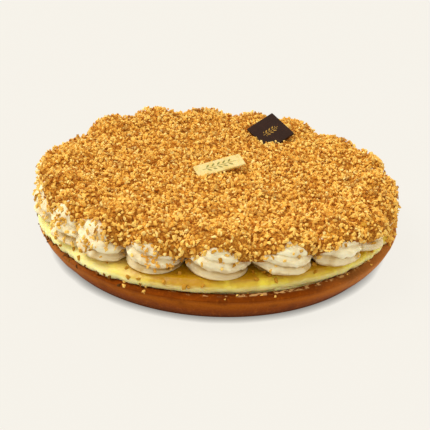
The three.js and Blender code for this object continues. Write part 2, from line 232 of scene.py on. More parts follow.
class Graph:
    """A node tree that is being drawn, of a finish or of a shape."""

    def __init__(self, tree: NodeTree) -> None:
        """Keep the tree."""
        self.tree = tree

    def add(
        self,
        kind: str,
        settings: Mapping[str, object] | None = None,
        sockets: Mapping[str | int, object] | None = None,
    ) -> Node:
        """Add one node.

        Args:
            kind: The node's type.
            settings: Its own settings, set first; "stops" gives a ramp's places and colours.
            sockets: Values or links of its inputs, by name or number.

        Returns:
            The node.
        """
        node = self.tree.nodes.new(kind)
        for name, value in (settings or {}).items():
            if name == "stops":
                self._set_stops(node.color_ramp, value)
            else:
                setattr(node, name, value)
        for name, value in (sockets or {}).items():
            if isinstance(value, Term):
                self.tree.links.new(value.socket, node.inputs[name])
            else:
                node.inputs[name].default_value = value
        return node

    @staticmethod
    def _set_stops(ramp: ColorRamp, stops: Sequence[tuple[float, Colour]]) -> None:
        """Give a ramp its places and colours.

        Args:
            ramp: The ramp.
            stops: Each stop's place from 0 to 1 and its colour.
        """
        while len(ramp.elements) < len(stops):
            ramp.elements.new(0.5)
        for element, (place, tint) in zip(ramp.elements, stops):
            element.position = place
            element.color = tint

    def term(
        self,
        kind: str,
        settings: Mapping[str, object] | None = None,
        sockets: Mapping[str | int, object] | None = None,
        output: str | int = 0,
    ) -> Term:
        """Add one node, as add does, and give one of its outputs for expressions."""
        return Term(self, self.add(kind, settings, sockets).outputs[output])

    def math(self, operation: str, *terms: Number) -> Term:
        """One step of arithmetic on values."""
        return self.term("ShaderNodeMath", {"operation": operation}, dict(enumerate(terms)))

    def limit(self, value: Term) -> Term:
        """A value kept between 0 and 1."""
        return self.term("ShaderNodeClamp", sockets={"Value": value})

    def fade(self, value: Term, low: float, high: float) -> Term:
        """A soft step of a value from 0 at low to 1 at high."""
        sockets = {"Value": value, "From Min": low, "From Max": high}
        return self.term("ShaderNodeMapRange", {"interpolation_type": "SMOOTHSTEP"}, sockets)

    def blend(self, share: Number, first: object, second: object) -> Term:
        """Mix two colours, or links to colours: 0 gives the first and 1 the second."""
        return self.term("ShaderNodeMix", {"data_type": "RGBA"}, {0: share, 6: first, 7: second}, 2)

    def ramp(self, value: Term, stops: Sequence[tuple[float, Colour]]) -> Term:
        """A colour picked along a ramp."""
        return self.term("ShaderNodeValToRGB", {"stops": stops}, {"Fac": value})

    def split(self, vector: Term) -> tuple[Term, Term, Term]:
        """The three parts of a vector."""
        parts = self.term("ShaderNodeSeparateXYZ", sockets={0: vector})
        return parts, parts.output(1), parts.output(2)

    def join(self, x: Number, y: Number, z: Number) -> Term:
        """A vector of three parts."""
        return self.term("ShaderNodeCombineXYZ", sockets={0: x, 1: y, 2: z})

    def scale(self, vector: Term, by: Number) -> Term:
        """A vector made longer or shorter."""
        return self.term("ShaderNodeVectorMath", {"operation": "SCALE"}, {0: vector, 3: by})

    def move(self, vector: Term, by: object) -> Term:
        """A vector with another one added."""
        return self.term("ShaderNodeVectorMath", {"operation": "ADD"}, {0: vector, 1: by})

    def stretch(self, vector: Term, by: Point) -> Term:
        """A vector with each part multiplied by a number of its own."""
        return self.term("ShaderNodeVectorMath", {"operation": "MULTIPLY"}, {0: vector, 1: by})

    def noise(self, place: Term, grain: Grain) -> Term:
        """Cloudy noise from 0 to 1.

        Args:
            place: Where it is read, in metres.
            grain: The pattern.

        Returns:
            The noise value.
        """
        sockets = {
            "Vector": self.stretch(place, grain.stretch),
            "Scale": 1 / (grain.size * MM),
            "Detail": grain.detail,
            "Roughness": grain.roughness,
        }
        return self.term("ShaderNodeTexNoise", sockets=sockets)

    def place(self) -> Term:
        """The point on the piece, in the tart's own frame."""
        return self.term("ShaderNodeTexCoord", output="Object")

    def millimetres(self, place: Term) -> tuple[Term, Term, Term]:
        """The three parts of a place, in millimetres."""
        return self.split(self.scale(place, 1 / MM))

    def relief(self, height: Term, depth: float, strength: float = 1.0) -> Term:
        """A surface normal raised by a height from 0 to 1, where 1 stands for a depth in mm."""
        sockets = {"Height": height, "Distance": depth * MM, "Strength": strength}
        return self.term("ShaderNodeBump", sockets=sockets)


@dataclass(frozen=True)
class Finish:
    """A surface finish: the values that are the same all over, and in subclasses what varies."""

    name: str = "finish"
    roughness: float = 0.5
    specular: float = 0.5
    glow_through: float = 0.0
    glow_depth: float = 1.0
    glow_tint: Point = (1.0, 0.6, 0.3)

    def material(self) -> Material:
        """Make the material.

        Returns:
            A material with a Principled shader.
        """
        material = bpy.data.materials.new(self.name)
        material.use_nodes = True
        material.node_tree.nodes.clear()
        graph = Graph(material.node_tree)
        sockets = {
            "Roughness": self.roughness,
            "Specular IOR Level": self.specular,
            "Subsurface Weight": self.glow_through,
            "Subsurface Radius": self.glow_tint,
            "Subsurface Scale": self.glow_depth * MM,
        }
        shader = graph.term("ShaderNodeBsdfPrincipled", sockets={**sockets, **self.surface(graph)})
        graph.add("ShaderNodeOutputMaterial", sockets={"Surface": shader})
        return material

    def surface(self, graph: Graph) -> dict[str, object]:
        """What varies over the surface, by the shader's sockets."""
        raise NotImplementedError


@dataclass(frozen=True)
class BakedCrust(Finish):
    """Mottled shortcrust with pale worn edges, painted shade at the foot and rim, painted light on bulge
    and side walls.
    """

    name: str = "baked_crust"
    roughness: float = 0.52
    specular: float = 0.03
    # Painted shade low on the wall, where it curves under.
    foot: Colour = screen(94, 42, 8)
    wall: Colour = screen(130, 60, 3)
    # A painted highlight along the wall's bulge, also the lighter brown of the real streaks.
    bulge: Colour = screen(166, 88, 12)
    # Painted shade on the rim under the custard's lip.
    rim: Colour = screen(84, 36, 8)
    # Painted light on the wall's left and right.
    pale: Colour = screen(226, 150, 78)
    worn: Colour = screen(226, 182, 124)
    toasted: Colour = screen(86, 37, 5)
    clouds: Grain = Grain(22, 3, 0.55)
    streaks: Grain = Grain(2.6, 2, 0.5, (1, 1, 0.12))
    grain: Grain = Grain(1.1, 3, 0.6)
    flakes: Grain = Grain(1.5, 4, 0.65, (0.3, 0.3, 1.6))
    height: float = 24.0
    band_waver: float = 5.0
    # Where the painted light on the left and right walls lies, across and up the wall.
    side_light_left: Span = (70, 140)
    side_light_right: Span = (50, 140)
    side_light_rise: Span = (5, 17)
    worn_front: Span = (95, 150)
    worn_rise: Span = (20.4, 20.9)
    worn_radius: Span = (135.4, 137.2)

    def surface(self, graph: Graph) -> dict[str, object]:
        """Colour by height with painted shade and highlight, mottling, fine grain, painted side light and
        worn rim edges.

        Args:
            graph: The material's tree.

        Returns:
            Values for the shader's sockets.
        """
        place = graph.place()
        across, along, up = graph.millimetres(place)
        clouds = graph.noise(place, self.clouds)
        streaks = graph.noise(place, self.streaks)
        grain = graph.noise(place, self.grain)
        rise = graph.limit((up + self.band_waver * (clouds - 0.5)) / self.height)
        # The ramp paints shade at the foot and on the rim, and a highlight on the bulge.
        bands = (0.0, self.foot), (0.42, self.wall), (0.72, self.bulge), (0.88, self.wall), (0.96, self.rim)
        tint = graph.ramp(rise, bands)
        mottled = graph.blend(0.75 * graph.fade(clouds, 0.52, 0.78), tint, self.toasted)
        streaked = graph.blend(0.4 * graph.fade(streaks, 0.5, 0.75), mottled, self.bulge)
        grained = graph.blend(0.35 * graph.fade(grain, 0.45, 0.8), streaked, self.toasted)
        # Painted light on the wall's left and right, above the foot.
        painted_side_light = 0.4 * graph.fade(-across, *self.side_light_left) + 0.52 * graph.fade(across, *self.side_light_right)
        side_lit_colour = graph.blend(painted_side_light * graph.fade(up, *self.side_light_rise), grained, self.pale)
        radius = graph.math("SQRT", across * across + along * along)
        edge = graph.fade(up, *self.worn_rise) * (1 - graph.fade(radius, *self.worn_radius))
        front_right = graph.fade(0.5 * across - along, *self.worn_front)
        flakes = graph.noise(place, self.flakes) + 0.16 * front_right
        return {
            "Base Color": graph.blend(0.75 * edge * graph.fade(flakes, 0.66, 0.74), side_lit_colour, self.worn),
            "Roughness": self.roughness + 0.25 * grain,
            "Normal": graph.relief(0.6 * grain + 0.5 * streaks + clouds, 0.5, 0.75),
        }


@dataclass(frozen=True)
class SetCustard(Finish):
    """Set custard: smooth, moist and yellow, paler at its edge, with painted shade on top and painted light
    at the left.
    """

    name: str = "custard"
    roughness: float = 0.22
    glow_through: float = 0.4
    glow_depth: float = 7.0
    glow_tint: Point = (1.0, 0.75, 0.2)
    # The deeper yellow of the clouds, and painted shade on the top under the rosettes.
    deeper_and_shade: Colour = screen(198, 148, 8)
    bright: Colour = screen(248, 226, 66)
    lip: Colour = screen(255, 244, 166)
    clouds: Grain = Grain(11, 3, 0.5)
    fine: Grain = Grain(2.4, 4, 0.6, (0.4, 0.4, 1.5))
    edge_rise: Span = (28.0, 31.0)
    lip_rise: Span = (24.0, 28.2)
    rise_waver: float = 4.0
    # Where the painted light at the left lies.
    left_light_from: Span = (-85, -25)
    left_light_waver: float = 30.0
    # Where the painted shade under a front rosette lies.
    rosette_shade_at: float = -30.0
    rosette_shade_width: Span = (8, 34)
    rosette_shade_front: Span = (100, 125)

    def surface(self, graph: Graph) -> dict[str, object]:
        """Yellow with soft clouds, a pale lip, painted shade on top and under a front rosette, painted
        light at the left and a moist top.

        Args:
            graph: The material's tree.

        Returns:
            Values for the shader's sockets.
        """
        place = graph.place()
        across, along, up = graph.millimetres(place)
        clouds = graph.noise(place, self.clouds)
        fine = graph.noise(place, self.fine)
        height = up + self.rise_waver * (fine - 0.5)
        # Paler towards the outer edge; the deeper yellow on the top is painted shade under the rosettes.
        edge = 1 - graph.fade(height, *self.edge_rise)
        # Painted shade on the custard under a front rosette.
        beside = graph.fade(abs(across - self.rosette_shade_at), *self.rosette_shade_width)
        rosette_shade = (1 - beside) * graph.fade(-along, *self.rosette_shade_front)
        spread = graph.limit(0.45 * edge + 0.6 * graph.fade(clouds, 0.42, 0.66) - 0.7 * rosette_shade)
        body = graph.blend(spread, self.deeper_and_shade, self.bright)
        # Painted light on the left part of the custard's edge.
        painted_left_light = 1 - graph.fade(across + self.left_light_waver * clouds, *self.left_light_from)
        lip = graph.limit(1 - graph.fade(height, *self.lip_rise) + 0.75 * painted_left_light)
        return {
            "Base Color": graph.blend(lip, body, self.lip),
            "Roughness": self.roughness + 0.2 * fine + 0.16 * lip,
            "Normal": graph.relief(fine + clouds, 0.8, 0.7),
        }


@dataclass(frozen=True)
class WhippedCream(Finish):
    """Whipped cream: matt off-white with fine air holes, warmer clouds and painted shade in its folds."""

    name: str = "whipped_cream"
    roughness: float = 0.46
    specular: float = 0.35
    glow_through: float = 0.35
    glow_depth: float = 3.5
    glow_tint: Point = (1.0, 0.85, 0.55)
    light: Colour = screen(254, 243, 208)
    # A warmer colour for the clouds, and painted shade low down and in the folds.
    warm_and_shade: Colour = screen(196, 160, 84)
    clouds: Grain = Grain(9, 3, 0.5)
    torn: Grain = Grain(3, 4, 0.6)
    # Where the painted shade low on the rosette fades out.
    foot_rise: Span = (31, 40)

    def surface(self, graph: Graph) -> dict[str, object]:
        """Off-white with soft warmer clouds, painted shade low down and in the folds, and fine air holes.

        Args:
            graph: The material's tree.

        Returns:
            Values for the shader's sockets.
        """
        place = graph.place()
        crease = graph.term("ShaderNodeAttribute", {"attribute_name": SwirlShape.CREASE}, output="Fac")
        clouds = graph.noise(place, self.clouds)
        torn = graph.noise(place, self.torn)
        # Painted shade low on the rosette.
        low = 1 - graph.fade(graph.millimetres(place)[2], *self.foot_rise)
        # Painted shade in the folds and low down, with warmer clouds.
        warmth_and_shade = graph.limit(0.5 * low + 0.7 * crease**1.4 + 0.55 * graph.fade(clouds, 0.42, 0.75))
        return {
            "Base Color": graph.blend(warmth_and_shade, self.light, self.warm_and_shade),
            "Roughness": self.roughness + 0.24 * torn,
            "Normal": graph.relief(torn + 0.5 * clouds, 0.9, 0.6),
        }


@dataclass(frozen=True)
class CaramelNut(Finish):
    """Chopped caramelised nut: each crumb has a tone between two colours."""

    name: str = "nut"
    roughness: float = 0.38
    specular: float = 0.1
    low: Colour = screen(190, 120, 40)
    high: Colour = screen(240, 184, 96)
    burnt: Colour = screen(150, 76, 12)
    spots: Grain = Grain(1.3, 2, 0.6)
    grain: Grain = Grain(0.5, 2, 0.6)
    patches: Grain = Grain(12, 2, 0.5)

    def surface(self, graph: Graph) -> dict[str, object]:
        """Each crumb's tone, with caramel spots on it and darker patches of crumbs.

        Args:
            graph: The material's tree.

        Returns:
            Values for the shader's sockets.
        """
        place = graph.place()
        tone = graph.term("ShaderNodeAttribute", {"attribute_name": CrumbShape.TONE}, output="Fac")
        spots = graph.noise(place, self.spots)
        body = graph.blend(tone, self.low, self.high)
        patches = 0.55 * graph.fade(graph.noise(place, self.patches), 0.58, 0.72)
        return {
            "Base Color": graph.blend(patches + 0.25 * graph.fade(spots, 0.55, 0.75), body, self.burnt),
            "Roughness": self.roughness + 0.3 * spots,
            "Normal": graph.relief(graph.noise(place, self.grain) + spots, 0.25, 0.6),
        }


@dataclass(frozen=True)
class CrumbGround(Finish):
    """Fine nut dust and caramel between the crumbs, darker as painted shade in the gaps."""

    name: str = "nut_dust_and_gap_shade"
    roughness: float = 0.65
    specular: float = 0.1
    # The dust's brown is darkened as painted shade in the gaps between the crumbs.
    dark: Colour = screen(140, 74, 10)
    light: Colour = screen(222, 158, 58)
    speckle: Grain = Grain(1.6, 4, 0.65)

    def surface(self, graph: Graph) -> dict[str, object]:
        """Speckled caramel brown, dark as painted shade between the crumbs.

        Args:
            graph: The material's tree.

        Returns:
            Values for the shader's sockets.
        """
        speckle = graph.noise(graph.place(), self.speckle)
        return {
            "Base Color": graph.blend(graph.fade(speckle, 0.35, 0.7), self.dark, self.light),
            "Roughness": self.roughness + 0.2 * speckle,
            "Normal": graph.relief(speckle, 1.0, 0.8),
        }


@dataclass(frozen=True)
class Chocolate(Finish):
    """What chocolates share: soft clouds between two colours and a plain twig on the face."""

    face: Colour = screen(128, 96, 64)
    bloom: Colour = screen(128, 96, 64)
    mark: Colour = screen(128, 96, 64)
    clouds: Grain = Grain(5)
    fine: Grain = Grain(1)
    bloom_share: float = 1.0
    bloom_from: Span = (0.4, 0.7)
    mark_share: float = 1.0
    mark_from: Span = (0.25, 0.4)
    dullness: float = 0.2
    depth: float = 0.2
    twig_half: float = 10.0
    leaf_pitch: float = 4.0
    leaf_half: float = 2.0
    leaf_lean: float = math.radians(38)

    def twig(self, graph: Graph) -> Term:
        """A plain twig with pairs of leaves, along the middle of the face.

        Args:
            graph: The material's tree.

        Returns:
            1 on the twig and its leaves, 0 elsewhere.
        """
        along, across, _ = graph.millimetres(graph.term("ShaderNodeTexCoord", output="UV"))
        cosine, sine = math.cos(self.leaf_lean), math.sin(self.leaf_lean)
        wrapped = along - self.leaf_pitch * graph.math("ROUND", along / self.leaf_pitch)
        away = abs(across) - 0.95 * self.leaf_half
        run = wrapped * cosine + away * sine
        side = away * cosine - wrapped * sine
        shape = 0.36 * self.leaf_half * (1 - (run / self.leaf_half) ** 2.0) - abs(side)
        leaves = graph.fade(shape, 0.0, 0.12) * (abs(along) < self.twig_half)
        stem_end = self.twig_half + 0.6 * self.leaf_pitch
        stem = (abs(across) < 0.055 * self.leaf_pitch) * (abs(along) < stem_end)
        return graph.math("MAXIMUM", leaves, stem)

    def surface(self, graph: Graph) -> dict[str, object]:
        """The face with soft clouds and the worn twig on it.

        Args:
            graph: The material's tree.

        Returns:
            Values for the shader's sockets.
        """
        place = graph.place()
        clouds = graph.noise(place, self.clouds)
        fine = graph.noise(place, self.fine)
        body = graph.blend(self.bloom_share * graph.fade(clouds, *self.bloom_from), self.face, self.bloom)
        twig = self.mark_share * self.twig(graph) * graph.fade(fine, *self.mark_from)
        return {
            "Base Color": graph.blend(twig, body, self.mark),
            "Roughness": self.roughness + self.dullness * clouds,
            "Normal": graph.relief(0.3 * fine + clouds, self.depth, 0.5),
        }


@dataclass(frozen=True)
class DarkChocolate(Chocolate):
    """Tempered dark chocolate with a satin face, a faint bloom and a plain gilt twig on it."""

    name: str = "dark_chocolate"
    roughness: float = 0.36
    specular: float = 0.15
    face: Colour = screen(44, 24, 18)
    bloom: Colour = screen(58, 34, 26)
    mark: Colour = screen(176, 138, 62)
    clouds: Grain = Grain(6, 4, 0.6)
    fine: Grain = Grain(0.8, 2, 0.6)
    bloom_share: float = 0.6
    bloom_from: Span = (0.45, 0.8)
    mark_from: Span = (0.3, 0.42)
    depth: float = 0.25
    twig_half: float = 6.2
    leaf_pitch: float = 3.4
    leaf_half: float = 1.9


@dataclass(frozen=True)
class WhiteChocolate(Chocolate):
    """White chocolate with a waxy, softly clouded face and a plain green twig on it."""

    name: str = "white_chocolate"
    roughness: float = 0.34
    glow_through: float = 0.2
    glow_depth: float = 1.5
    face: Colour = screen(228, 210, 146)
    bloom: Colour = screen(220, 196, 118)
    mark: Colour = screen(120, 112, 18)
    clouds: Grain = Grain(5, 3, 0.55)
    fine: Grain = Grain(0.7, 2, 0.6)
    mark_share: float = 0.9
    dullness: float = 0.16
    twig_half: float = 11.6
    leaf_pitch: float = 4.6
    leaf_half: float = 2.2


@dataclass(frozen=True)
class PaleFloor(Finish):
    """A plain pale studio floor that is lit from below too, so that it shades only faintly, and a painted
    contact shadow round the tart.
    """

    name: str = "studio_floor"
    roughness: float = 0.9
    specular: float = 0.0
    tint: Colour = (0.04, 0.04, 0.042, 1.0)
    glow: Colour = (0.869, 0.839, 0.773, 1.0)
    shade: float = 0.8
    shade_reach: float = 6.0
    shade_samples: int = 16

    def surface(self, graph: Graph) -> dict[str, object]:
        """One plain tint and its glow, which is dimmed close to the tart as a painted contact shadow.

        Args:
            graph: The material's tree.

        Returns:
            Values for the shader's sockets.
        """
        near = {"Color": self.glow, "Distance": self.shade_reach * MM}
        dimmed = graph.term("ShaderNodeAmbientOcclusion", {"samples": self.shade_samples}, near)
        shaded = graph.blend(self.shade, self.glow, dimmed)
        return {"Base Color": self.tint, "Emission Color": shaded, "Emission Strength": 1.0}


def new_piece(name: str, mesh: Mesh, material: Material | None) -> Object:
    """Put a mesh in the scene as a piece.

    Args:
        name: The piece's name.
        mesh: Its mesh, in place.
        material: Its only material, or None where the mesh already has it.

    Returns:
        The piece's object, at the origin.
    """
    if material is not None:
        mesh.materials.clear()
        mesh.materials.append(material)
    mesh.name = name
    piece = bpy.data.objects.new(name, mesh)
    bpy.context.scene.collection.objects.link(piece)
    return piece


def make_mesh(name: str, points: np.ndarray, faces: Sequence[Sequence[int]]) -> Mesh:
    """A smooth mesh of points in millimetres.

    Args:
        name: The mesh's name.
        points: Points in millimetres.
        faces: Point numbers of each face, outwards.

    Returns:
        The mesh, in metres.
    """
    mesh = bpy.data.meshes.new(name)
    mesh.from_pydata((points * MM).tolist(), [], faces)
    mesh.shade_smooth()
    mesh.update()
    return mesh


def loft(name: str, start: Sequence[float], rings: np.ndarray, end: Sequence[float]) -> Mesh:
    """A closed surface from one point through rings of points to another point.

    Args:
        name: The mesh's name.
        start: First point, in millimetres.
        rings: Rings of points, anticlockwise seen from the end, in rows.
        end: Last point.

    Returns:
        The closed mesh.
    """
    rows, columns, _ = rings.shape
    points = np.vstack([[start], rings.reshape(-1, 3), [end]])
    last = len(points) - 1
    grid = 1 + np.arange(rows * columns).reshape(rows, columns)
    after = np.roll(grid, -1, axis=1)
    walls = np.stack([grid[:-1], after[:-1], after[1:], grid[1:]], axis=-1).reshape(-1, 4)
    bottom = np.stack([np.zeros(columns, int), after[0], grid[0]], axis=-1)
    top = np.stack([np.full(columns, last), grid[-1], after[-1]], axis=-1)
    return make_mesh(name, points, [*bottom.tolist(), *walls.tolist(), *top.tolist()])


def mesh_points(mesh: Mesh) -> np.ndarray:
    """A mesh's points.

    Args:
        mesh: The mesh.

    Returns:
        Its points in millimetres, one in a row.
    """
    flat = np.empty(3 * len(mesh.vertices), np.float32)
    mesh.vertices.foreach_get("co", flat)
    return flat.reshape(-1, 3).astype(float) / MM


def join_meshes(name: str, meshes: Sequence[Mesh]) -> Mesh:
    """Several meshes as one.

    Args:
        name: The new mesh's name.
        meshes: The meshes, in place.

    Returns:
        A smooth mesh with the points and faces of all of them.
    """
    points, faces, count = [], [], 0
    for mesh in meshes:
        points.append(mesh_points(mesh))
        faces += [[count + corner for corner in face.vertices] for face in mesh.polygons]
        count += len(mesh.vertices)
    return make_mesh(name, np.vstack(points), faces)


def evaluated(piece: Object) -> Mesh:
    """A piece's mesh with its modifiers worked out.

    Args:
        piece: The piece with its modifiers.

    Returns:
        A mesh of its own.
    """
    graph = bpy.context.evaluated_depsgraph_get()
    worked_out = piece.evaluated_get(graph)
    return bpy.data.meshes.new_from_object(worked_out, preserve_all_data_layers=True, depsgraph=graph)


@dataclass(frozen=True)
class Bench:
    """Where finished pieces are set down, inside the box of the tart's solids."""

    low: Point
    high: Point

    def settle(self, piece: Object, slot: str, nodes: Sequence[str] = ()) -> Object:
        """Fix a finished piece to the tart, inside the bench's box, and hide the solids it replaces.

        Args:
            piece: The finished piece.
            slot: Not used; the record's material slot it belongs to.
            nodes: The solids it replaces.

        Returns:
            The same piece.
        """
        inside = np.clip(mesh_points(piece.data) * MM, self.low, self.high)
        piece.data.vertices.foreach_set("co", inside.astype(np.float32).ravel())
        piece.data.update()
        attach(piece, BODY)
        if nodes:
            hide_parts(*nodes)
        log.info("%s: %d faces", piece.name, len(piece.data.polygons))
        return piece


class NodeShape:
    """A Geometry Nodes tree with named inputs, whose result becomes a plain mesh."""

    NAME = "shape"
    INPUTS: Mapping[str, Sequence[str]] = {}

    def __init__(self) -> None:
        """Draw the tree with its named inputs."""
        self.tree = bpy.data.node_groups.new(self.NAME, "GeometryNodeTree")
        face = self.tree.interface
        face.new_socket(name="Geometry", in_out="INPUT", socket_type="NodeSocketGeometry")
        face.new_socket(name="Geometry", in_out="OUTPUT", socket_type="NodeSocketGeometry")
        self.identifiers = {
            name: face.new_socket(name=name, in_out="INPUT", socket_type=kind).identifier
            for kind, names in self.INPUTS.items()
            for name in names
        }
        self.graph = Graph(self.tree)
        self.inputs = self.graph.term("NodeGroupInput")
        realized = self.graph.term("GeometryNodeRealizeInstances", sockets={"Geometry": self.draw()})
        dressed = {"Geometry": realized, "Material": self.given("Material")}
        finished = self.graph.term("GeometryNodeSetMaterial", sockets=dressed)
        self.graph.add("NodeGroupOutput", sockets={0: finished})

    def given(self, name: str) -> Term:
        """One of the tree's inputs."""
        return self.inputs.output(name)

    def draw(self) -> Term:
        """Draw the nodes between the inputs and the finished geometry."""
        raise NotImplementedError

    def make(
        self, name: str, values: Mapping[str, object], base: Mesh | None = None
    ) -> Object:
        """Work out the tree once as a piece with a plain mesh.

        Args:
            name: The piece's name.
            values: A value for each named input.
            base: The mesh that the tree starts from, where it needs one.

        Returns:
            The piece, without modifiers.
        """
        piece = new_piece(name, base.copy() if base else bpy.data.meshes.new(name), None)
        modifier = piece.modifiers.new(self.NAME, "NODES")
        modifier.node_group = self.tree
        for label, value in values.items():
            modifier[self.identifiers[label]] = value
        mesh = evaluated(piece)
        piece.modifiers.remove(modifier)
        old, piece.data = piece.data, mesh
        bpy.data.meshes.remove(old)
        mesh.name = name
        return piece


class SwirlShape(NodeShape):
    """One piped rosette, or the crumbs' ground over it, squeezed between its neighbours and the bed."""

    NAME = "piped_swirl"
    CREASE = "crease"
    FOOT_ROWS = 0.05
    FOOT_RISE = 3 * MM
    INNER_FOOT = 0.98
    RIDGES = 3
    FAR = 1.0
    NARROWEST = 1e-4
    LINE_NOISE = {"Scale": 2.2, "Detail": 4.0}
    COARSE = Grain(10, 1, 0.5)
    FINE = Grain(3.6, 3, 0.6)
    FINE_SHARE = 0.6
    INPUTS = {
        "NodeSocketInt": ("Columns", "Rows"),
        "NodeSocketVector": ("Centre",),
        "NodeSocketFloat": (
            *("Ring Radius", "Ring Angle", "Room Before", "Room After", "Bed Radius", "Clearance"),
            *("Radius", "Height", "Foot Share", "Waist", "Roundness", "Squareness", "Inward Dip"),
            *("Folds", "Fold Start", "Fold Depth", "Fold Lean", "Ridge Depth", "Unevenness"),
            *("Grow", "Thin Edge", "Line Front", "Line Cleft", "Line Waver", "Seed"),
        ),
        "NodeSocketMaterial": ("Material",),
    }

    def draw(self) -> Term:
        """Bend a round mesh into the swirl.

        Returns:
            The finished geometry.
        """
        graph, given = self.graph, self.given
        ball = {"Segments": given("Columns"), "Rings": given("Rows"), "Radius": 1.0}
        start = graph.term("GeometryNodeMeshUVSphere", sockets=ball)
        x, y, z = graph.split(graph.term("GeometryNodeInputPosition"))
        turn = graph.math("ARCTAN2", y, x)
        level_sine = graph.math("MAXIMUM", graph.math("MINIMUM", z, 1.0), -1.0)
        climb = graph.math("ARCSINE", level_sine) / math.pi + 0.5
        outward, sideways = graph.math("COSINE", turn), graph.math("SINE", turn)
        spread = graph.math("MINIMUM", climb / self.FOOT_ROWS, 1.0)
        above = graph.math("MAXIMUM", (climb - self.FOOT_ROWS) / (1 - self.FOOT_ROWS), 0.0)
        line = self._line(outward, sideways)
        level = line + (1 - line) * above
        inward = graph.math("MAXIMUM", -outward, 0.0)
        share = self._share(level, inward)
        full = given("Thin Edge") + (1 - given("Thin Edge")) * graph.math("MINIMUM", 2 * above, 1.0)
        grow = given("Grow") * full
        reach = self._reach(turn, outward, sideways, inward) + grow
        winding = math.pi * given("Folds") * level + 0.5 * turn + given("Fold Start")
        fold = abs(graph.math("SINE", winding)) - 1
        ridge = abs(graph.math("SINE", self.RIDGES * winding)) - 1
        loose = (1 - inward) * (1 - level)
        depth = (given("Fold Depth") * fold + given("Ridge Depth") * ridge) * loose
        radius = (reach * share + depth) * spread
        lean = given("Fold Lean") * sideways * graph.math("SINE", math.pi * level)
        dip = given("Inward Dip") * inward * share * share * level
        rise = (given("Height") + 2 * grow) * level - grow - lean - dip
        angle, away = given("Ring Angle"), given("Ring Radius")
        heading = angle + turn
        east = away * graph.math("COSINE", angle) + radius * graph.math("COSINE", heading)
        north = away * graph.math("SINE", angle) + radius * graph.math("SINE", heading)
        bent = graph.move(graph.join(east, north, rise), given("Centre"))
        # The depth in each fold is kept for the painted shade in the cream's folds.
        marked = {"Geometry": start, "Name": self.CREASE, "Value": -fold * loose}
        kept = graph.term("GeometryNodeStoreNamedAttribute", {"data_type": "FLOAT"}, marked)
        shaped = graph.term("GeometryNodeSetPosition", sockets={"Geometry": kept, "Position": bent})
        return self._soften(shaped)

    def _line(self, outward: Term, sideways: Term) -> Term:
        """The level where the surface starts, which wavers round the swirl.

        Args:
            outward: 1 towards the tart's edge, -1 towards its middle.
            sideways: 1 and -1 towards the neighbours.

        Returns:
            The level from 0 at the foot to 1 at the peak.
        """
        graph, given = self.graph, self.given
        middle = given("Line Front") + (given("Line Cleft") - given("Line Front")) * sideways * sideways
        sockets = {"Vector": graph.join(outward, sideways, given("Seed")), **self.LINE_NOISE}
        return middle + given("Line Waver") * (graph.term("ShaderNodeTexNoise", sockets=sockets) - 0.5)

    def _share(self, level: Term, inward: Term) -> Term:
        """How much of its reach the swirl takes at a level: a waisted foot under a round dome.

        Args:
            level: The level from 0 at the foot to 1 at the peak.
            inward: How far the direction points to the tart's middle, from 0 to 1.

        Returns:
            The share from 0 to 1.
        """
        graph, given = self.graph, self.given
        foot = given("Foot Share") + (self.INNER_FOOT - given("Foot Share")) * inward
        power = given("Roundness") + given("Squareness") * inward
        waist = given("Waist")
        dome = graph.math("MAXIMUM", (level - waist) / (1 - waist), 0.0)
        rising = graph.math("MINIMUM", level / waist, 1.0)
        swell = foot + (1 - foot) * graph.math("SINE", 0.5 * math.pi * rising)
        return swell * graph.math("MAXIMUM", 1 - dome**power, 0.0) ** (1 / power)

    def _reach(self, turn: Term, outward: Term, sideways: Term, inward: Term) -> Term:
        """How far the swirl reaches from its own axis, between its neighbours and the bed.

        Args:
            turn: The direction round the swirl's axis, 0 towards the tart's edge.
            outward: The direction's cosine.
            sideways: The direction's sine.
            inward: How far the direction points to the tart's middle, from 0 to 1.

        Returns:
            The reach in metres.
        """
        graph, given = self.graph, self.given
        away = given("Ring Radius")
        room = given("Room Before") + (given("Room After") - given("Room Before")) * (turn > 0.0)
        slope = graph.math("TANGENT", room)
        spread = graph.math("MAXIMUM", abs(sideways) - outward * slope, self.NARROWEST)
        side = (away * slope - 0.5 * given("Clearance") / graph.math("COSINE", room)) / spread
        across = away * outward
        hidden = across * across - away * away + given("Bed Radius") ** 2.0
        meets = (across < 0.0) * (hidden > 0.0)
        bed = -across - graph.math("SQRT", graph.math("MAXIMUM", hidden, 0.0)) + self.FAR * (1 - meets)
        free = given("Radius") * (1 + inward)
        return graph.math("MINIMUM", graph.math("MINIMUM", free, side), bed)

    def _soften(self, shaped: Term) -> Term:
        """Soft unevenness over the even swirl, above its flat foot.

        Args:
            shaped: The even swirl.

        Returns:
            The uneven swirl.
        """
        graph = self.graph
        place = graph.term("GeometryNodeInputPosition")
        height = graph.split(place)[2] - graph.split(self.given("Centre"))[2]
        coarse, fine = (graph.noise(place, grain) - 0.5 for grain in (self.COARSE, self.FINE))
        lumps = (coarse + self.FINE_SHARE * fine) * self.given("Unevenness")
        size = lumps * graph.fade(height, 0.0, self.FOOT_RISE)
        offset = graph.scale(graph.term("GeometryNodeInputNormal"), size)
        uneven = graph.term("GeometryNodeSetPosition", sockets={"Geometry": shaped, "Offset": offset})
        return graph.term("GeometryNodeSetShadeSmooth", sockets={"Geometry": uneven, "Shade Smooth": True})


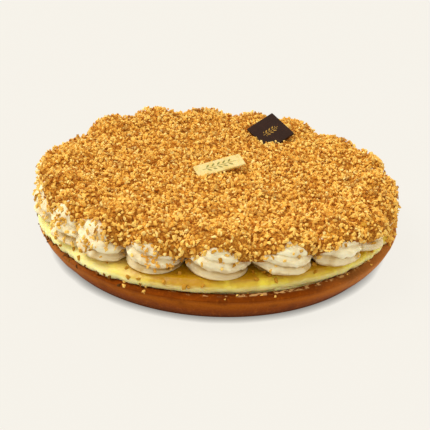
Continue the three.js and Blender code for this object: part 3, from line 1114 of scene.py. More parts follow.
class CrumbShape(NodeShape):
    """Angular crumbs strewn over a surface, each with a tone that is half random and rises the prouder it
    stands.
    """

    NAME = "nut_crumbs"
    TONE = "tone"
    COVER = "cover"
    BIT = {"Segments": 5, "Rings": 3, "Radius": 1.0}
    SLIMMEST = (0.7, 0.42, 0.3)
    PLUMPEST = (1.1, 0.75, 0.55)
    INPUTS = {
        "NodeSocketFloat": (
            *("Density", "Spacing", "Lowest", "Highest", "Facing"),
            *("Smallest", "Largest", "Sink", "Lift", "Roughness"),
        ),
        "NodeSocketInt": ("Seed",),
        "NodeSocketMaterial": ("Material",),
    }

    def draw(self) -> Term:
        """Strew, size, turn and roughen the crumbs.

        Returns:
            The crumbs.
        """
        graph, given = self.graph, self.given
        seed = given("Seed")
        height = graph.split(graph.term("GeometryNodeInputPosition"))[2]
        facing = graph.split(graph.term("GeometryNodeInputNormal"))[2]
        chosen = (height > given("Lowest")) * (height < given("Highest")) * (facing > given("Facing"))
        cover = graph.term("GeometryNodeInputNamedAttribute", {"data_type": "FLOAT"}, {"Name": self.COVER})
        sockets = {
            "Mesh": given("Geometry"),
            "Selection": chosen,
            "Distance Min": given("Spacing"),
            "Density Max": given("Density"),
            "Density Factor": cover,
            "Seed": seed,
        }
        spaced = {"distribute_method": "POISSON"}
        strewn = graph.term("GeometryNodeDistributePointsOnFaces", spaced, sockets)
        proud = self._draw_number(0.0, 1.0, seed + 1)
        lift = given("Sink") + (given("Lift") - given("Sink")) * proud
        offset = graph.scale(strewn.output("Normal"), lift)
        points = graph.term("GeometryNodeSetPosition", sockets={"Geometry": strewn, "Offset": offset})
        size = self._draw_number(given("Smallest"), given("Largest"), seed + 2)
        slim = self._draw_vector(self.SLIMMEST, self.PLUMPEST, seed + 3)
        sockets = {
            "Points": points,
            "Instance": graph.term("GeometryNodeMeshUVSphere", sockets=self.BIT),
            "Rotation": self._draw_vector((0.0, 0.0, 0.0), (TURN, TURN, TURN), seed + 4),
            "Scale": graph.scale(slim, size),
        }
        crumbs = graph.term("GeometryNodeInstanceOnPoints", sockets=sockets)
        # The tone is half random and half how far the crumb stands proud.
        toned = {
            "Geometry": crumbs,
            "Name": self.TONE,
            "Value": 0.5 * self._draw_number(0.0, 1.0, seed + 5) + 0.5 * proud,
        }
        stored = {"data_type": "FLOAT", "domain": "INSTANCE"}
        loose = graph.term("GeometryNodeStoreNamedAttribute", stored, toned)
        solid = graph.term("GeometryNodeRealizeInstances", sockets={"Geometry": loose})
        chance = self._draw_vector((-1.0, -1.0, -1.0), (1.0, 1.0, 1.0), seed + 6)
        chipped = graph.scale(chance, given("Roughness"))
        rough = graph.term("GeometryNodeSetPosition", sockets={"Geometry": solid, "Offset": chipped})
        return graph.term("GeometryNodeSetShadeSmooth", sockets={"Geometry": rough, "Shade Smooth": False})

    def _draw_number(self, low: Number, high: Number, seed: Term) -> Term:
        """A seeded random number for each crumb."""
        sockets = {2: low, 3: high, "Seed": seed}
        return self.graph.term("FunctionNodeRandomValue", {"data_type": "FLOAT"}, sockets, 1)

    def _draw_vector(self, low: Point, high: Point, seed: Term) -> Term:
        """A seeded random vector for each crumb or point."""
        sockets = {0: low, 1: high, "Seed": seed}
        return self.graph.term("FunctionNodeRandomValue", {"data_type": "FLOAT_VECTOR"}, sockets, 0)


@dataclass
class Crust:
    """The baked shell: a shallow bowl with a bulging, flared wall and a rounded, worn rim."""

    base_radius: float = 127.4
    rim_radius: float = 141.0
    rim_height: float = 22.4
    wall: float = 9.8
    floor: float = 5.5
    lip: float = 1.4
    heel: float = 0.8
    bulge: float = 1.6
    unevenness: float = 0.35
    coarse: Lumps = Lumps(0.28, 9, 11)
    fine: Lumps = Lumps(0.1, 2.6, 12)
    most_relief: float = 0.25
    relief_rise: Span = (0.6, 3.0)
    crown_rise: Span = (20.6, 21.6)
    columns: int = 400
    heel_rows: int = 4
    wall_rows: int = 22
    rim_rows: int = 15
    finish: BakedCrust = field(default_factory=BakedCrust)

    def radius(self, share: float) -> float:
        """The wall's outer radius at a share of its height."""
        flare = self.rim_radius - self.base_radius
        return self.base_radius + flare * share + self.bulge * math.sin(math.pi * share)

    def height(self, share: float) -> float:
        """The height of that share of the wall."""
        return self.heel + (self.rim_height - self.lip - self.heel) * share

    def build(self) -> Object:
        """Make the shell.

        Returns:
            The finished piece.
        """
        angle = np.linspace(0, TURN, self.columns, endpoint=False)
        rows: list[tuple[np.ndarray, np.ndarray]] = []
        level = np.ones_like(angle)
        for sweep in np.linspace(0, math.pi / 2, self.heel_rows, endpoint=False):
            radius = self.base_radius - self.heel * (1 - math.sin(sweep))
            rows.append((radius * level, self.heel * (1 - math.cos(sweep)) * level))
        for share in np.linspace(0, 1, self.wall_rows):
            waved = self.unevenness * waver(angle, phase=2 + 3 * share) * min(1.0, 4 * share)
            rows.append((self.radius(share) + waved, self.height(share) * level))
        worn = self.unevenness * (1 + waver(angle, phase=1))
        for sweep in np.linspace(0, math.pi, self.rim_rows)[1:-1]:
            radius = self.rim_radius - (self.wall / 2) * (1 - math.cos(sweep))
            blend = self.unevenness * waver(angle, phase=5) * max(0.0, math.cos(sweep))
            rows.append((radius + blend, self.height(1) + (self.lip - worn / 2) * math.sin(sweep)))
        for share in (1, 0.75, 0.5, self.floor / self.rim_height):
            height = max(self.height(share), self.floor)
            rows.append(((self.radius(share) - self.wall) * level, height * level))
        rings = np.stack([np.stack([r * np.cos(angle), r * np.sin(angle), z], -1) for r, z in rows])
        relief = self.coarse.at(rings) + self.fine.at(rings)
        shown = smoothstep(rings[..., 2], *self.relief_rise)
        out = np.stack([np.cos(angle), np.sin(angle)], -1)
        rings[..., :2] += (shown * np.minimum(relief, self.most_relief))[..., None] * out
        rings[..., 2] += np.minimum(0, relief) * smoothstep(rings[..., 2], *self.crown_rise)
        mesh = loft("crust", (0, 0, 0), rings, (0, 0, self.floor))
        return new_piece("tart_crust", mesh, self.finish.material())

    def dress(self, bench: Bench) -> Object:
        """Make the shell and settle it on the tart."""
        return bench.settle(self.build(), "baked_crust", ["crust"])


@dataclass(frozen=True)
class Topping:
    """Where filling, cream and crumbs lie: a little off the shell's centre, falling to the right."""

    x: float = -2.0
    y: float = 4.5
    slope: float = 0.042
    start: float = -130.0

    def fall(self, x: np.ndarray | float) -> np.ndarray | float:
        """How far the cream and crumbs have sunk at a place across the tart."""
        return self.slope * (x - self.start)

    def ring(self, angle: np.ndarray, radius: np.ndarray | float, height: float | np.ndarray) -> np.ndarray:
        """A level ring of points round the topping's centre.

        Args:
            angle: Directions from the centre.
            radius: Distance from the centre.
            height: Height above the tart's underside.

        Returns:
            One point for each direction.
        """
        x = radius * np.cos(angle) + self.x
        y = radius * np.sin(angle) + self.y
        return np.stack([x, y, np.full_like(angle, 1.0) * height], -1)


@dataclass
class Custard:
    """The custard: it fills the shell and stands above its rim with a soft, uneven edge."""

    crust: Crust
    topping: Topping
    gap: float = 0.3
    radius: float = 139.0
    widening: float = 2.5
    top: float = 31.0
    edge: float = 5.0
    bulge: float = 1.2
    unevenness: float = 0.45
    drips: Lumps = Lumps(0.9, 4.5, 21)
    longest_drip: float = 0.5
    drip_rise: Span = (23.0, 28.0)
    high_drips: float = 0.35
    swells: Lumps = Lumps(0.22, 16, 22)
    settled: float = 0.1
    spread_at: float = math.radians(-118)
    spread_by: float = 3.0
    shrunk_at: float = math.radians(-65)
    shrunk_by: float = 2.5
    columns: int = 400
    edge_steps: int = 16
    top_rows: int = 40
    top_margin: float = 2.0
    innermost: float = 20.0
    finish: SetCustard = field(default_factory=SetCustard)

    def edge_rows(self, angle: np.ndarray) -> list[np.ndarray]:
        """Rings of the rounded edge, from over the rim up to the flat top.

        Args:
            angle: Directions round the topping's centre.

        Returns:
            One ring of points for each row.
        """
        underside = self.crust.rim_height + self.gap
        spread = self.spread_by * bump(angle, self.spread_at) - self.shrunk_by * bump(angle, self.shrunk_at)
        widest = self.radius + self.widening * np.cos(angle) ** 2 + self.unevenness * waver(angle, phase=4)
        rows = []
        for share in np.linspace(0, 1, self.edge_steps):
            sweep = share * math.pi / 2
            bulge = self.bulge * math.sin(math.pi * min(1, 1.6 * share))
            drawn_in = self.edge * (1 - math.cos(sweep)) + self.bulge
            radius = widest - drawn_in + bulge + spread * math.cos(sweep)
            height = underside + (self.top - underside) * math.sin(sweep)
            rows.append(self.topping.ring(angle, radius, height))
        return rows

    def build(self) -> Object:
        """Make the custard.

        Returns:
            The finished piece.
        """
        angle = np.linspace(0, TURN, self.columns, endpoint=False)
        floor = self.crust.floor + self.gap
        inner = []
        for share in (self.crust.floor / self.crust.rim_height, 0.5, 1):
            radius = self.crust.radius(share) - self.crust.wall - self.gap
            height = max(self.crust.height(share), floor)
            level = np.full_like(angle, height)
            inner.append(np.stack([radius * np.cos(angle), radius * np.sin(angle), level], -1))
        neck = inner[-1].copy()
        neck[:, 2] = self.crust.rim_height + self.gap
        edge = self.edge_rows(angle)
        inside = self.radius - self.edge - self.bulge - self.top_margin
        top_radii = np.linspace(inside, self.innermost, self.top_rows)
        top = [self.topping.ring(angle, radius, self.top) for radius in top_radii]
        rings = np.stack([*inner, neck, 0.5 * (neck + edge[0]), *edge, *top])
        out = np.stack([np.cos(angle), np.sin(angle)], -1)
        first = len(inner) + 2
        lip = rings[first:]
        low = 1 - smoothstep(lip[..., 2], *self.drip_rise)
        drip = self.drips.at(lip * (1, 1, 0)) * (self.high_drips + (1 - self.high_drips) * low)
        lip[..., :2] += np.minimum(drip, self.longest_drip)[..., None] * out
        upper = rings[first + 3:]
        upper[..., 2] += np.minimum(self.settled, self.swells.at(upper) - self.settled)
        end = (self.topping.x, self.topping.y, self.top - self.settled)
        mesh = loft("custard", (0, 0, floor), rings, end)
        return new_piece("custard_filling", mesh, self.finish.material())

    def dress(self, bench: Bench) -> Object:
        """Make the custard and settle it on the tart."""
        return bench.settle(self.build(), "custard", ["custard"])


@dataclass(frozen=True)
class Quirk:
    """How one rosette differs from its even place and size: its turn in radians, the rest in mm."""

    turn: float = 0.0
    out: float = 0.0
    plump: float = 0.0
    sunk: float = 0.0


@dataclass
class RosetteRing:
    """The ring of piped cream rosettes round the edge."""

    QUIRKS: ClassVar[dict[int, Quirk]] = {
        0: Quirk(out=-5.0, plump=2.0),
        1: Quirk(turn=-0.005, out=-1.5, plump=0.5),
        2: Quirk(turn=0.045),
        3: Quirk(out=1.0),
        4: Quirk(out=-2.5),
        8: Quirk(turn=0.06, sunk=1.5),
        13: Quirk(sunk=6.0),
        14: Quirk(sunk=1.5),
        16: Quirk(turn=-0.05),
        17: Quirk(turn=-0.06),
        18: Quirk(turn=-0.12, out=-2.0, plump=-4.0),
    }

    custard: Custard
    bed_radius: float = 97.0
    count: int = 19
    start: float = -1.506
    ring_radius: float = 119.5
    radius: float = 23.0
    radius_jitter: float = 2.5
    radius_seed: int = 1125435
    height: float = 31.0
    height_jitter: float = 0.2
    height_seed: int = 1266282
    foot_share: float = 0.97
    waist: float = 0.3
    roundness: float = 2.2
    squareness: float = 5.5
    inward_dip: float = 6.0
    folds: float = 3.2
    fold_depth: float = 4.6
    fold_jitter: float = 0.3
    fold_seed: int = 60
    fold_turn: float = 0.9 * math.pi
    fold_turn_seed: int = 80
    fold_lean: float = 3.0
    ridge_depth: float = 0.8
    unevenness: float = 5.0
    crowding: float = 0.1
    twist: float = 0.12
    angle_jitter: float = 0.045
    angle_seed: int = 574655
    sunken: int = 13
    columns: int = 84
    rows: int = 52
    finish: WhippedCream = field(default_factory=WhippedCream)

    def angle(self, index: int) -> float:
        """The direction of a rosette from the topping's centre; they stand closer at the front.

        Args:
            index: The rosette's place in the ring.

        Returns:
            The angle in radians.
        """
        even = TURN * index / self.count
        drift = self.crowding * math.sin(even) + self.twist / 2 * (1 - math.cos(even))
        place = index % self.count
        chance = self.angle_jitter * (2 * scatter(self.angle_seed + place) - 1)
        return self.start + even - drift + chance + self.quirk(place).turn

    def quirk(self, index: int) -> Quirk:
        """How a rosette differs from the others."""
        return self.QUIRKS.get(index, Quirk())

    def peak(self, index: int) -> float:
        """A rosette's own height, lower where the topping has sunk.

        Args:
            index: The rosette's place in the ring.

        Returns:
            The height above its foot.
        """
        height = self.height * (1 + self.height_jitter * (scatter(self.height_seed + index) - 0.5))
        height -= self.quirk(index).sunk
        topping = self.custard.topping
        return height - topping.fall(topping.x + self.ring_radius * math.cos(self.angle(index)))

    def values(self, index: int) -> dict[str, object]:
        """The named inputs of one rosette's swirl.

        Args:
            index: The rosette's place in the ring.

        Returns:
            A value for each input but the material.
        """
        custard = self.custard
        quirk = self.quirk(index)
        chance = self.radius_jitter * (2 * scatter(self.radius_seed + index) - 1)
        deepened = 1 + self.fold_jitter * (scatter(self.fold_seed + index) - 0.5)
        lengths = {
            "Ring Radius": self.ring_radius + quirk.out,
            "Bed Radius": self.bed_radius + 2 * custard.gap,
            "Clearance": custard.gap,
            "Radius": self.radius + quirk.plump + chance,
            "Height": self.peak(index),
            "Inward Dip": self.inward_dip,
            "Fold Depth": self.fold_depth * deepened,
            "Fold Lean": self.fold_lean,
            "Ridge Depth": self.ridge_depth,
            "Unevenness": self.unevenness,
            "Grow": 0.0,
        }
        centre = Vector((custard.topping.x, custard.topping.y, custard.top + custard.gap)) * MM
        return {
            **{label: float(length * MM) for label, length in lengths.items()},
            "Columns": self.columns,
            "Rows": self.rows,
            "Centre": tuple(centre),
            "Ring Angle": self.angle(index),
            "Room Before": (self.angle(index) - self.angle(index - 1)) / 2,
            "Room After": (self.angle(index + 1) - self.angle(index)) / 2,
            "Foot Share": self.foot_share,
            "Waist": self.waist,
            "Roundness": self.roundness,
            "Squareness": self.squareness,
            "Folds": self.folds,
            "Fold Start": self.fold_turn * scatter(self.fold_turn_seed + index),
            "Thin Edge": 1.0,
            "Line Front": 0.0,
            "Line Cleft": 0.0,
            "Line Waver": 0.0,
            "Seed": float(index),
        }

    def dress(self, bench: Bench, shape: SwirlShape) -> list[Object]:
        """Pipe every rosette and settle it on the tart.

        Args:
            bench: Where they are set down.
            shape: The swirl's tree.

        Returns:
            The rosettes.
        """
        material = self.finish.material()
        pieces = []
        for index in range(self.count):
            label = f"{index + 1:02d}"
            piece = shape.make(f"piped_rosette_{label}", {**self.values(index), "Material": material})
            pieces.append(bench.settle(piece, "whipped_cream", [f"cream_rosette_{label}"]))
        return pieces


@dataclass
class Plate:
    """A flat chocolate with soft edges, laid slanting in the crumbs."""

    name: str
    node: str
    slot: str
    finish: Finish
    length: float
    width: float
    thickness: float
    corner: float
    at: Point
    turn: Point
    bevel: float = 0.45
    flat_inset: float = 0.3
    least_corner: float = 0.1
    corner_steps: int = 6
    bevel_steps: int = 4

    def placing(self) -> Matrix:
        """The move from the plate's own frame, with its face at height 0, to the tart's.

        Returns:
            The move, in millimetres.
        """
        x, y, z = (math.radians(part) for part in self.turn)
        turned = Matrix.Rotation(z, 4, "Z") @ Matrix.Rotation(y, 4, "Y") @ Matrix.Rotation(x, 4, "X")
        return Matrix.Translation(self.at) @ turned

    def local(self, points: np.ndarray) -> np.ndarray:
        """Points of the tart, in millimetres, in the plate's own frame."""
        back = np.array(self.placing().inverted())
        return points @ back[:3, :3].T + back[:3, 3]

    def outline(self, inset: float) -> np.ndarray:
        """The plate's outline, drawn in by an inset.

        Args:
            inset: Distance inwards from the full outline.

        Returns:
            Points anticlockwise, in the plate's own frame.
        """
        corner = max(self.corner - inset, self.least_corner)
        half_x, half_y = self.length / 2 - inset - corner, self.width / 2 - inset - corner
        points = []
        for quarter, (sx, sy) in enumerate(((1, 1), (-1, 1), (-1, -1), (1, -1))):
            angle = (np.linspace(0, 1, self.corner_steps) + quarter) * math.pi / 2
            arc = corner * np.stack([np.cos(angle), np.sin(angle)], -1)
            points.append(arc + (sx * half_x, sy * half_y))
        return np.vstack(points)

    def build(self) -> Object:
        """Make the plate with a face coordinate map in metres.

        Returns:
            The finished piece.
        """
        sweep = np.linspace(0, math.pi / 2, self.bevel_steps)
        first, last = self.bevel * (1 - np.sin(sweep)), self.bevel * (1 - np.cos(sweep))
        rows = [(self.bevel + self.flat_inset, -self.thickness)]
        rows += zip(first, last - self.thickness)
        rows += zip(last, -first)
        rows.append((self.bevel + self.flat_inset, 0.0))
        rings = []
        for inset, height in rows:
            outline = self.outline(inset)
            rings.append(np.column_stack([outline, np.full(len(outline), height)]))
        mesh = loft(self.name, (0, 0, -self.thickness), np.stack(rings), (0, 0, 0))
        face_map = mesh.uv_layers.new(name="face")
        for loop in mesh.loops:
            face_map.data[loop.index].uv = mesh.vertices[loop.vertex_index].co.xy
        scaled = Matrix.Scale(MM, 4) @ self.placing() @ Matrix.Scale(1 / MM, 4)
        mesh.transform(scaled)
        return new_piece(self.name, mesh, self.finish.material())

    def dress(self, bench: Bench) -> None:
        """Make the plate and settle it on the tart."""
        bench.settle(self.build(), self.slot, [self.node])


class Roast(Enum):
    """How dark a crumb was caramelised."""

    PALE = "pale"
    GOLDEN = "golden"
    AMBER = "amber"
    DARK = "dark"


@dataclass(frozen=True)
class CrumbKind:
    """One kind of nut crumb: its roast, finish and sizes, and how thick it lies on the coat."""

    roast: Roast
    finish: CaramelNut
    smallest: float
    largest: float
    seed: int
    density: float = 0.0


GOLDEN = CrumbKind(
    Roast.GOLDEN,
    CaramelNut("nut_golden", low=screen(240, 184, 76), high=screen(255, 220, 124)),
    smallest=1.3, largest=2.7, seed=100, density=0.085,
)
PALE = CrumbKind(
    Roast.PALE,
    CaramelNut("nut_pale", low=screen(250, 208, 104), high=screen(255, 234, 156)),
    smallest=1.2, largest=2.3, seed=200, density=0.036,
)
AMBER = CrumbKind(
    Roast.AMBER,
    CaramelNut("nut_amber", low=screen(228, 160, 52), high=screen(252, 206, 102)),
    smallest=1.3, largest=2.7, seed=300, density=0.07,
)
DARK = CrumbKind(
    Roast.DARK,
    CaramelNut("nut_dark", low=screen(150, 82, 18), high=screen(210, 138, 48)),
    smallest=1.2, largest=2.2, seed=400, density=0.02,
)
SOAKED = CrumbKind(
    Roast.AMBER,
    CaramelNut(
        "nut_soaked", low=screen(176, 122, 26), high=screen(226, 170, 60), burnt=screen(160, 108, 24)
    ),
    smallest=2.2, largest=3.2, seed=500,
)
BURNT = CrumbKind(
    Roast.DARK,
    CaramelNut(
        "nut_burnt", low=screen(62, 34, 12), high=screen(150, 96, 34), burnt=screen(70, 38, 12)
    ),
    smallest=1.5, largest=2.5, seed=600,
)


@dataclass(frozen=True)
class Sector:
    """A stretch round the tart between two directions in degrees, with soft ends."""

    low: float
    high: float
    soft: float

    def inside(self, points: np.ndarray) -> np.ndarray:
        """1 for points in the stretch, 0 for points away from it."""
        bearing = np.degrees(np.arctan2(points[:, 1], points[:, 0]))
        entered = smoothstep(bearing, self.low - self.soft, self.low)
        return entered * (1 - smoothstep(bearing, self.high, self.high + self.soft))

    def outside(self, points: np.ndarray) -> np.ndarray:
        """1 for points away from the stretch, 0 for points in it."""
        return 1 - self.inside(points)


LEFT_CREAM = Sector(-175, -128, 12)
LEFT_EDGE = Sector(-172, -118, 14)
FRONT_CLEFT = Sector(-110, -99, 3)
RIGHT_SLIDE = Sector(-24, 18, 4)


def near_coat(points: np.ndarray) -> np.ndarray:
    """Crumbs on the cream: more of them higher up, near the coat, and many at the left.

    Args:
        points: Points of the cream, in millimetres.

    Returns:
        How thick they lie, from 0 to 1.
    """
    left = LEFT_CREAM.inside(points)
    least = 0.05 + 0.45 * left
    return least + (1 - least) * smoothstep(points[:, 2], 40 - 4 * left, 55) ** 1.7


@dataclass(frozen=True)
class Sprinkle:
    """Crumbs strewn on one surface: their kind, how thick they lie, where and how deep they sit."""

    SPACING: ClassVar[float] = 1.1
    CHIPPING: ClassVar[float] = 0.5

    name: str
    kind: CrumbKind
    cover: Callable[[np.ndarray], np.ndarray] | None
    density: float
    lowest: float
    highest: float
    facing: float
    sink: float = -0.6
    lift: float = 0.4
    seed: int = 7

    def values(self) -> dict[str, object]:
        """The named inputs of the crumbs' tree.

        Returns:
            A value for each input.
        """
        lengths = {
            "Spacing": self.SPACING * self.kind.smallest,
            "Lowest": self.lowest,
            "Highest": self.highest,
            "Smallest": self.kind.smallest,
            "Largest": self.kind.largest,
            "Sink": self.sink,
            "Lift": self.lift,
            "Roughness": self.CHIPPING,
        }
        finish = self.kind.finish
        return {
            **{label: float(length * MM) for label, length in lengths.items()},
            "Density": self.density / MM**2,
            "Facing": self.facing,
            "Seed": self.kind.seed + self.seed,
            "Material": bpy.data.materials.get(finish.name) or finish.material(),
        }

    def strew(self, bench: Bench, crumbs: CrumbShape, surface: Mesh) -> None:
        """Strew the crumbs over a surface and settle them on the tart.

        Args:
            bench: Where they are set down.
            crumbs: The crumbs' tree.
            surface: What they lie on; it gets the cover, unless that is None and stored already.
        """
        if self.cover is not None:
            store_cover(surface, self.cover(mesh_points(surface)))
        bench.settle(crumbs.make(self.name, self.values(), surface), "nut_crumbs")


def store_cover(mesh: Mesh, cover: np.ndarray) -> None:
    """Keep on a mesh how thick crumbs lie at its points, from 0 to 1."""
    share = mesh.attributes.new(CrumbShape.COVER, "FLOAT", "POINT")
    share.data.foreach_set("value", cover.astype(np.float32))


@dataclass
class CrumbCoat:
    """The coat of nut crumbs: a ground of fine dust over the cream, strewn with crumbs."""

    KINDS: ClassVar[tuple[CrumbKind, ...]] = (GOLDEN, PALE, AMBER, DARK)

    ring: RosetteRing
    plates: Sequence[Plate]
    thickness: float = 2.0
    thin_edge: float = 0.3
    line_front: float = 0.85
    line_cleft: float = 0.26
    line_spread: float = 0.18
    line_seed: int = 133418
    line_waver: float = 0.5
    drop_right: float = 0.75
    cap_columns: int = 40
    cap_rows: int = 24
    cap_unevenness: float = 2.4
    middle_radius: float = 130.0
    middle_inner: float = 3.0
    middle_edge: float = 0.8
    middle_columns: int = 90
    middle_rows: int = 30
    middle_top: float = 58.8
    middle_low: float = 47.2
    middle_sink: float = 2.0
    middle_dip: float = 4.0
    middle_lumps: Lumps = Lumps(1.0, 8, 31)
    swell: float = 0.9
    buried: float = 1.2
    plate_margin: float = 0.5
    plate_gap: float = 0.4
    plate_bare: float = 2.0
    grain: float = 1.5
    finish: CrumbGround = field(default_factory=CrumbGround)

    def middle(self) -> Mesh:
        """The ground in the middle of the tart, gently uneven and sinking at its edge.

        Returns:
            A closed disc.
        """
        topping = self.ring.custard.topping
        angle = np.linspace(0, TURN, self.middle_columns, endpoint=False)
        rows = [topping.ring(angle, self.middle_radius, self.middle_low)]
        dip = self.middle_dip * bump(angle, self.ring.angle(self.ring.sunken))
        for radius in np.linspace(self.middle_radius, self.middle_inner, self.middle_rows):
            swell = self.swell * np.cos(5 * angle + 1) * math.sin(2 * TURN * radius / self.middle_radius)
            edge = smoothstep(radius, self.middle_edge * self.middle_radius, self.middle_radius)
            row = topping.ring(angle, radius, self.middle_top - self.middle_sink * float(edge))
            row[:, 2] += swell + self.middle_lumps.at(row) - dip * edge
            rows.append(row)
        rings = np.stack(rows)
        rings[..., 2] -= topping.fall(rings[..., 0])
        sunk = topping.fall(topping.x)
        low = (topping.x, topping.y, self.middle_low - sunk)
        high = (topping.x, topping.y, self.middle_top - sunk)
        return loft("middle", low, rings, high)

    def cap(self, shape: SwirlShape, index: int) -> Object:
        """The ground over one rosette.

        Args:
            shape: The swirl's tree.
            index: The rosette's place in the ring.

        Returns:
            A closed cap, not yet part of the coat.
        """
        slid = self.drop_right * max(math.cos(self.ring.angle(index)), 0) ** 3
        front = self.line_front - slid + self.line_spread * (scatter(self.line_seed + index) - 0.5)
        changed = {
            "Columns": self.cap_columns,
            "Rows": self.cap_rows,
            "Grow": self.thickness * MM,
            "Thin Edge": self.thin_edge,
            "Fold Depth": 0.0,
            "Ridge Depth": 0.0,
            "Fold Lean": 0.0,
            "Unevenness": self.cap_unevenness * MM,
            "Line Front": front,
            "Line Cleft": self.line_cleft,
            "Line Waver": self.line_waver,
        }
        return shape.make(f"cap_{index:02d}", {**self.ring.values(index), **changed})

    def ground(self, shape: SwirlShape) -> Object:
        """The ground of fine dust, as one closed body under the crumbs.

        Args:
            shape: The swirl's tree.

        Returns:
            The finished piece, with the crumbs' cover stored on its points.
        """
        parts = [new_piece("middle", self.middle(), None)]
        parts += [self.cap(shape, index) for index in range(self.ring.count)]
        joined = new_piece("joined", join_meshes("joined", [part.data for part in parts]), None)
        for part in parts:
            bpy.data.objects.remove(part)
        remesh = joined.modifiers.new("union", "REMESH")
        remesh.mode = "VOXEL"
        remesh.voxel_size = self.grain * MM
        mesh = evaluated(joined)
        bpy.data.objects.remove(joined)
        self.make_room(mesh)
        mesh.shade_smooth()
        return new_piece("crumb_ground", mesh, self.finish.material())

    def make_room(self, mesh: Mesh) -> None:
        """Press the ground down under the plates and keep crumbs from growing there.

        Args:
            mesh: The ground's mesh.
        """
        points = mesh_points(mesh)
        cover = np.ones(len(points))
        for plate in self.plates:
            local = plate.local(points)
            margin = np.array([plate.length, plate.width]) / 2 + self.plate_margin
            inside = np.all(abs(local[:, :2]) < margin, axis=1) & (local[:, 2] < self.buried)
            excess = local[:, 2] + plate.thickness + self.plate_gap
            lean = plate.placing().to_3x3() @ Vector((0, 0, 1))
            points[:, 2] -= np.where(inside & (excess > 0), excess / lean.z, 0)
            cover[inside & (excess > -self.plate_bare)] = 0
        mesh.vertices.foreach_set("co", (points * MM).astype(np.float32).ravel())
        store_cover(mesh, cover)
        mesh.update()

    def dress(self, bench: Bench, swirl: SwirlShape, crumbs: CrumbShape) -> None:
        """Lay the ground and strew every kind of crumb over it.

        Args:
            bench: Where they are set down.
            swirl: The swirl's tree.
            crumbs: The crumbs' tree.
        """
        ground = self.ground(swirl)
        bench.settle(ground, "nut_crumbs", ["crumb_coat"])
        for kind in self.KINDS:
            sprinkle = Sprinkle(
                f"crumbs_{kind.roast.value}", kind, None, kind.density,
                lowest=0, highest=90, facing=-0.2, sink=-0.9, lift=2.2, seed=0,
            )
            sprinkle.strew(bench, crumbs, ground.data)


@dataclass
class StrayCrumbs:
    """Loose crumbs that fell on the cream, the custard and the rim.

    Each sprinkle says its kind and cover, then density, lowest and highest place and facing.
    """

    cream: tuple[Sprinkle, ...] = (
        Sprinkle("strays_cream", GOLDEN, near_coat, 0.12, 32.5, 57, -0.4),
        Sprinkle("strays_brown", SOAKED, near_coat, 0.025, 32.5, 54, -0.4),
        Sprinkle("strays_cleft", AMBER, FRONT_CLEFT.inside, 0.12, 32.5, 54, -0.4),
    )
    custard: tuple[Sprinkle, ...] = (
        Sprinkle("strays_custard", SOAKED, RIGHT_SLIDE.outside, 0.012, 24, 32, 0.1),
        Sprinkle("strays_lip", BURNT, LEFT_EDGE.inside, 0.05, 22.7, 25, -1.0, sink=-0.2, lift=0.6),
        Sprinkle("strays_slid", AMBER, RIGHT_SLIDE.inside, 0.2, 22.6, 32, -0.4, sink=0.0, lift=3.0),
    )
    rim: tuple[Sprinkle, ...] = (
        Sprinkle("strays_rim", BURNT, LEFT_EDGE.inside, 0.03, 20.6, 22.6, 0.0),
        Sprinkle("strays_rim_golden", GOLDEN, RIGHT_SLIDE.outside, 0.006, 20.4, 22.6, 0.0),
    )

    def dress(
        self,
        bench: Bench,
        crumbs: CrumbShape,
        rosettes: Sequence[Object],
        filling: Object,
        crust: Object,
    ) -> None:
        """Strew loose crumbs.

        Args:
            bench: Where they are set down.
            crumbs: The crumbs' tree.
            rosettes: The piped rosettes.
            filling: The custard.
            crust: The shell.
        """
        grounds = ((self.cream, rosettes), (self.custard, [filling]), (self.rim, [crust]))
        for sprinkles, pieces in grounds:
            for sprinkle in sprinkles:
                surface = join_meshes(sprinkle.name, [piece.data for piece in pieces])
                sprinkle.strew(bench, crumbs, surface)


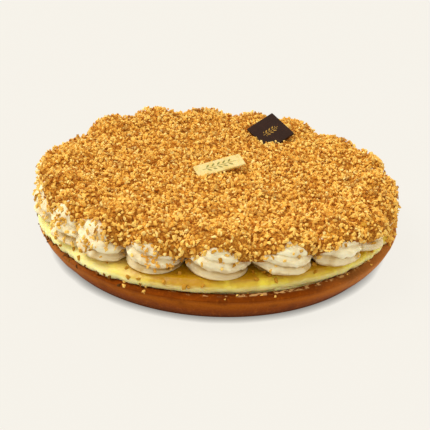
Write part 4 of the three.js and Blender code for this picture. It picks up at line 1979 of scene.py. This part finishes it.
@dataclass
class Studio:
    """The pale floor, the soft light and the camera."""

    target: Point = (-2.4, 0.0, 13.6)
    distance: float = 650.0
    elevation: float = 26.45
    roll: float = 2.2
    lens: float = 67.4
    sensor: float = 36.0
    farthest: float = 100.0
    floor_half: float = 6000.0
    sky: float = 0.89
    sky_right: float = 0.15
    sky_back: float = 0.24
    sky_tint: Colour = (1.0, 0.94, 0.8, 1.0)
    key_from: Point = (-0.58, 0.06, 0.82)
    key_spread: float = 34.0
    key_power: float = 2.0
    key_tint: Point = (1.0, 0.94, 0.82)
    finish: PaleFloor = field(default_factory=PaleFloor)

    def build(self) -> None:
        """Set up floor, light and camera."""
        half = self.floor_half
        corners = np.array([(-half, -half, 0), (half, -half, 0), (half, half, 0), (-half, half, 0)], float)
        floor = new_piece("floor", make_mesh("floor", corners, [[0, 1, 2, 3]]), self.finish.material())
        floor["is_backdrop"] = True
        self.light()
        self.camera()

    def light(self) -> None:
        """A soft sky that is brighter at the right and back, and one soft key light from the left."""
        scene = bpy.context.scene
        world = bpy.data.worlds.new("studio")
        world.use_nodes = True
        world.node_tree.nodes.clear()
        graph = Graph(world.node_tree)
        x, y, _ = graph.split(graph.term("ShaderNodeTexCoord", output="Generated"))
        strength = self.sky + self.sky_right * x + self.sky_back * y
        sky = graph.term("ShaderNodeBackground", sockets={"Color": self.sky_tint, "Strength": strength})
        graph.add("ShaderNodeOutputWorld", sockets={"Surface": sky})
        scene.world = world
        lamp = bpy.data.lights.new("key", "SUN")
        lamp.angle = math.radians(self.key_spread)
        lamp.energy = self.key_power
        lamp.color = self.key_tint
        holder = bpy.data.objects.new("key", lamp)
        holder.rotation_euler = Vector(self.key_from).to_track_quat("Z", "Y").to_euler()
        scene.collection.objects.link(holder)
        scene.view_settings.view_transform = "Standard"
        scene.view_settings.look = "None"

    def camera(self) -> None:
        """The camera at the photographed angle."""
        tilt = math.radians(self.elevation)
        away = Vector((0, -math.cos(tilt), math.sin(tilt))) * self.distance
        data = bpy.data.cameras.new("camera")
        data.lens = self.lens
        data.sensor_width = self.sensor
        data.clip_end = self.farthest
        camera = bpy.data.objects.new("camera", data)
        camera.location = (Vector(self.target) + away) * MM
        tilted = Euler((math.pi / 2 - tilt, 0, 0)).to_matrix()
        turned = tilted @ Matrix.Rotation(math.radians(self.roll), 3, "Z")
        camera.rotation_euler = turned.to_euler()
        bpy.context.scene.collection.objects.link(camera)
        bpy.context.scene.camera = camera


def main() -> None:
    """Build every piece of the tart in order."""
    logging.basicConfig(level=logging.INFO, format="%(name)s: %(message)s")
    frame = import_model()
    solid_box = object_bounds()
    bench = Bench(*(tuple(corner) for corner in solid_box))
    Studio().build()
    crust = Crust()
    custard = Custard(crust, Topping())
    ring = RosetteRing(custard)
    plaque = Plate(
        name="chocolate_plaque", node="dark_chocolate_plaque", slot="dark_chocolate",
        finish=DarkChocolate(), length=29.2, width=29.2, thickness=2.2, corner=0.8,
        at=(43.0, 77.2, 58.8), turn=(23.8, -19.7, 36.7),
    )
    strip = Plate(
        name="chocolate_strip", node="white_chocolate_strip", slot="white_chocolate",
        finish=WhiteChocolate(), length=40.1, width=12.5, thickness=2.0, corner=1.2,
        at=(-0.4, -4.4, 59.3), turn=(20.0, -7.7, 25.5),
    )
    swirl, crumbs = SwirlShape(), CrumbShape()
    shell = crust.dress(bench)
    filling = custard.dress(bench)
    rosettes = ring.dress(bench, swirl)
    frame["nodes"]["cream_bed"].data.materials.clear()
    frame["nodes"]["cream_bed"].data.materials.append(rosettes[0].data.materials[0])
    plaque.dress(bench)
    strip.dress(bench)
    CrumbCoat(ring, (plaque, strip)).dress(bench, swirl, crumbs)
    StrayCrumbs().dress(bench, crumbs, rosettes, filling, shell)


if __name__ == "__main__":
    main()
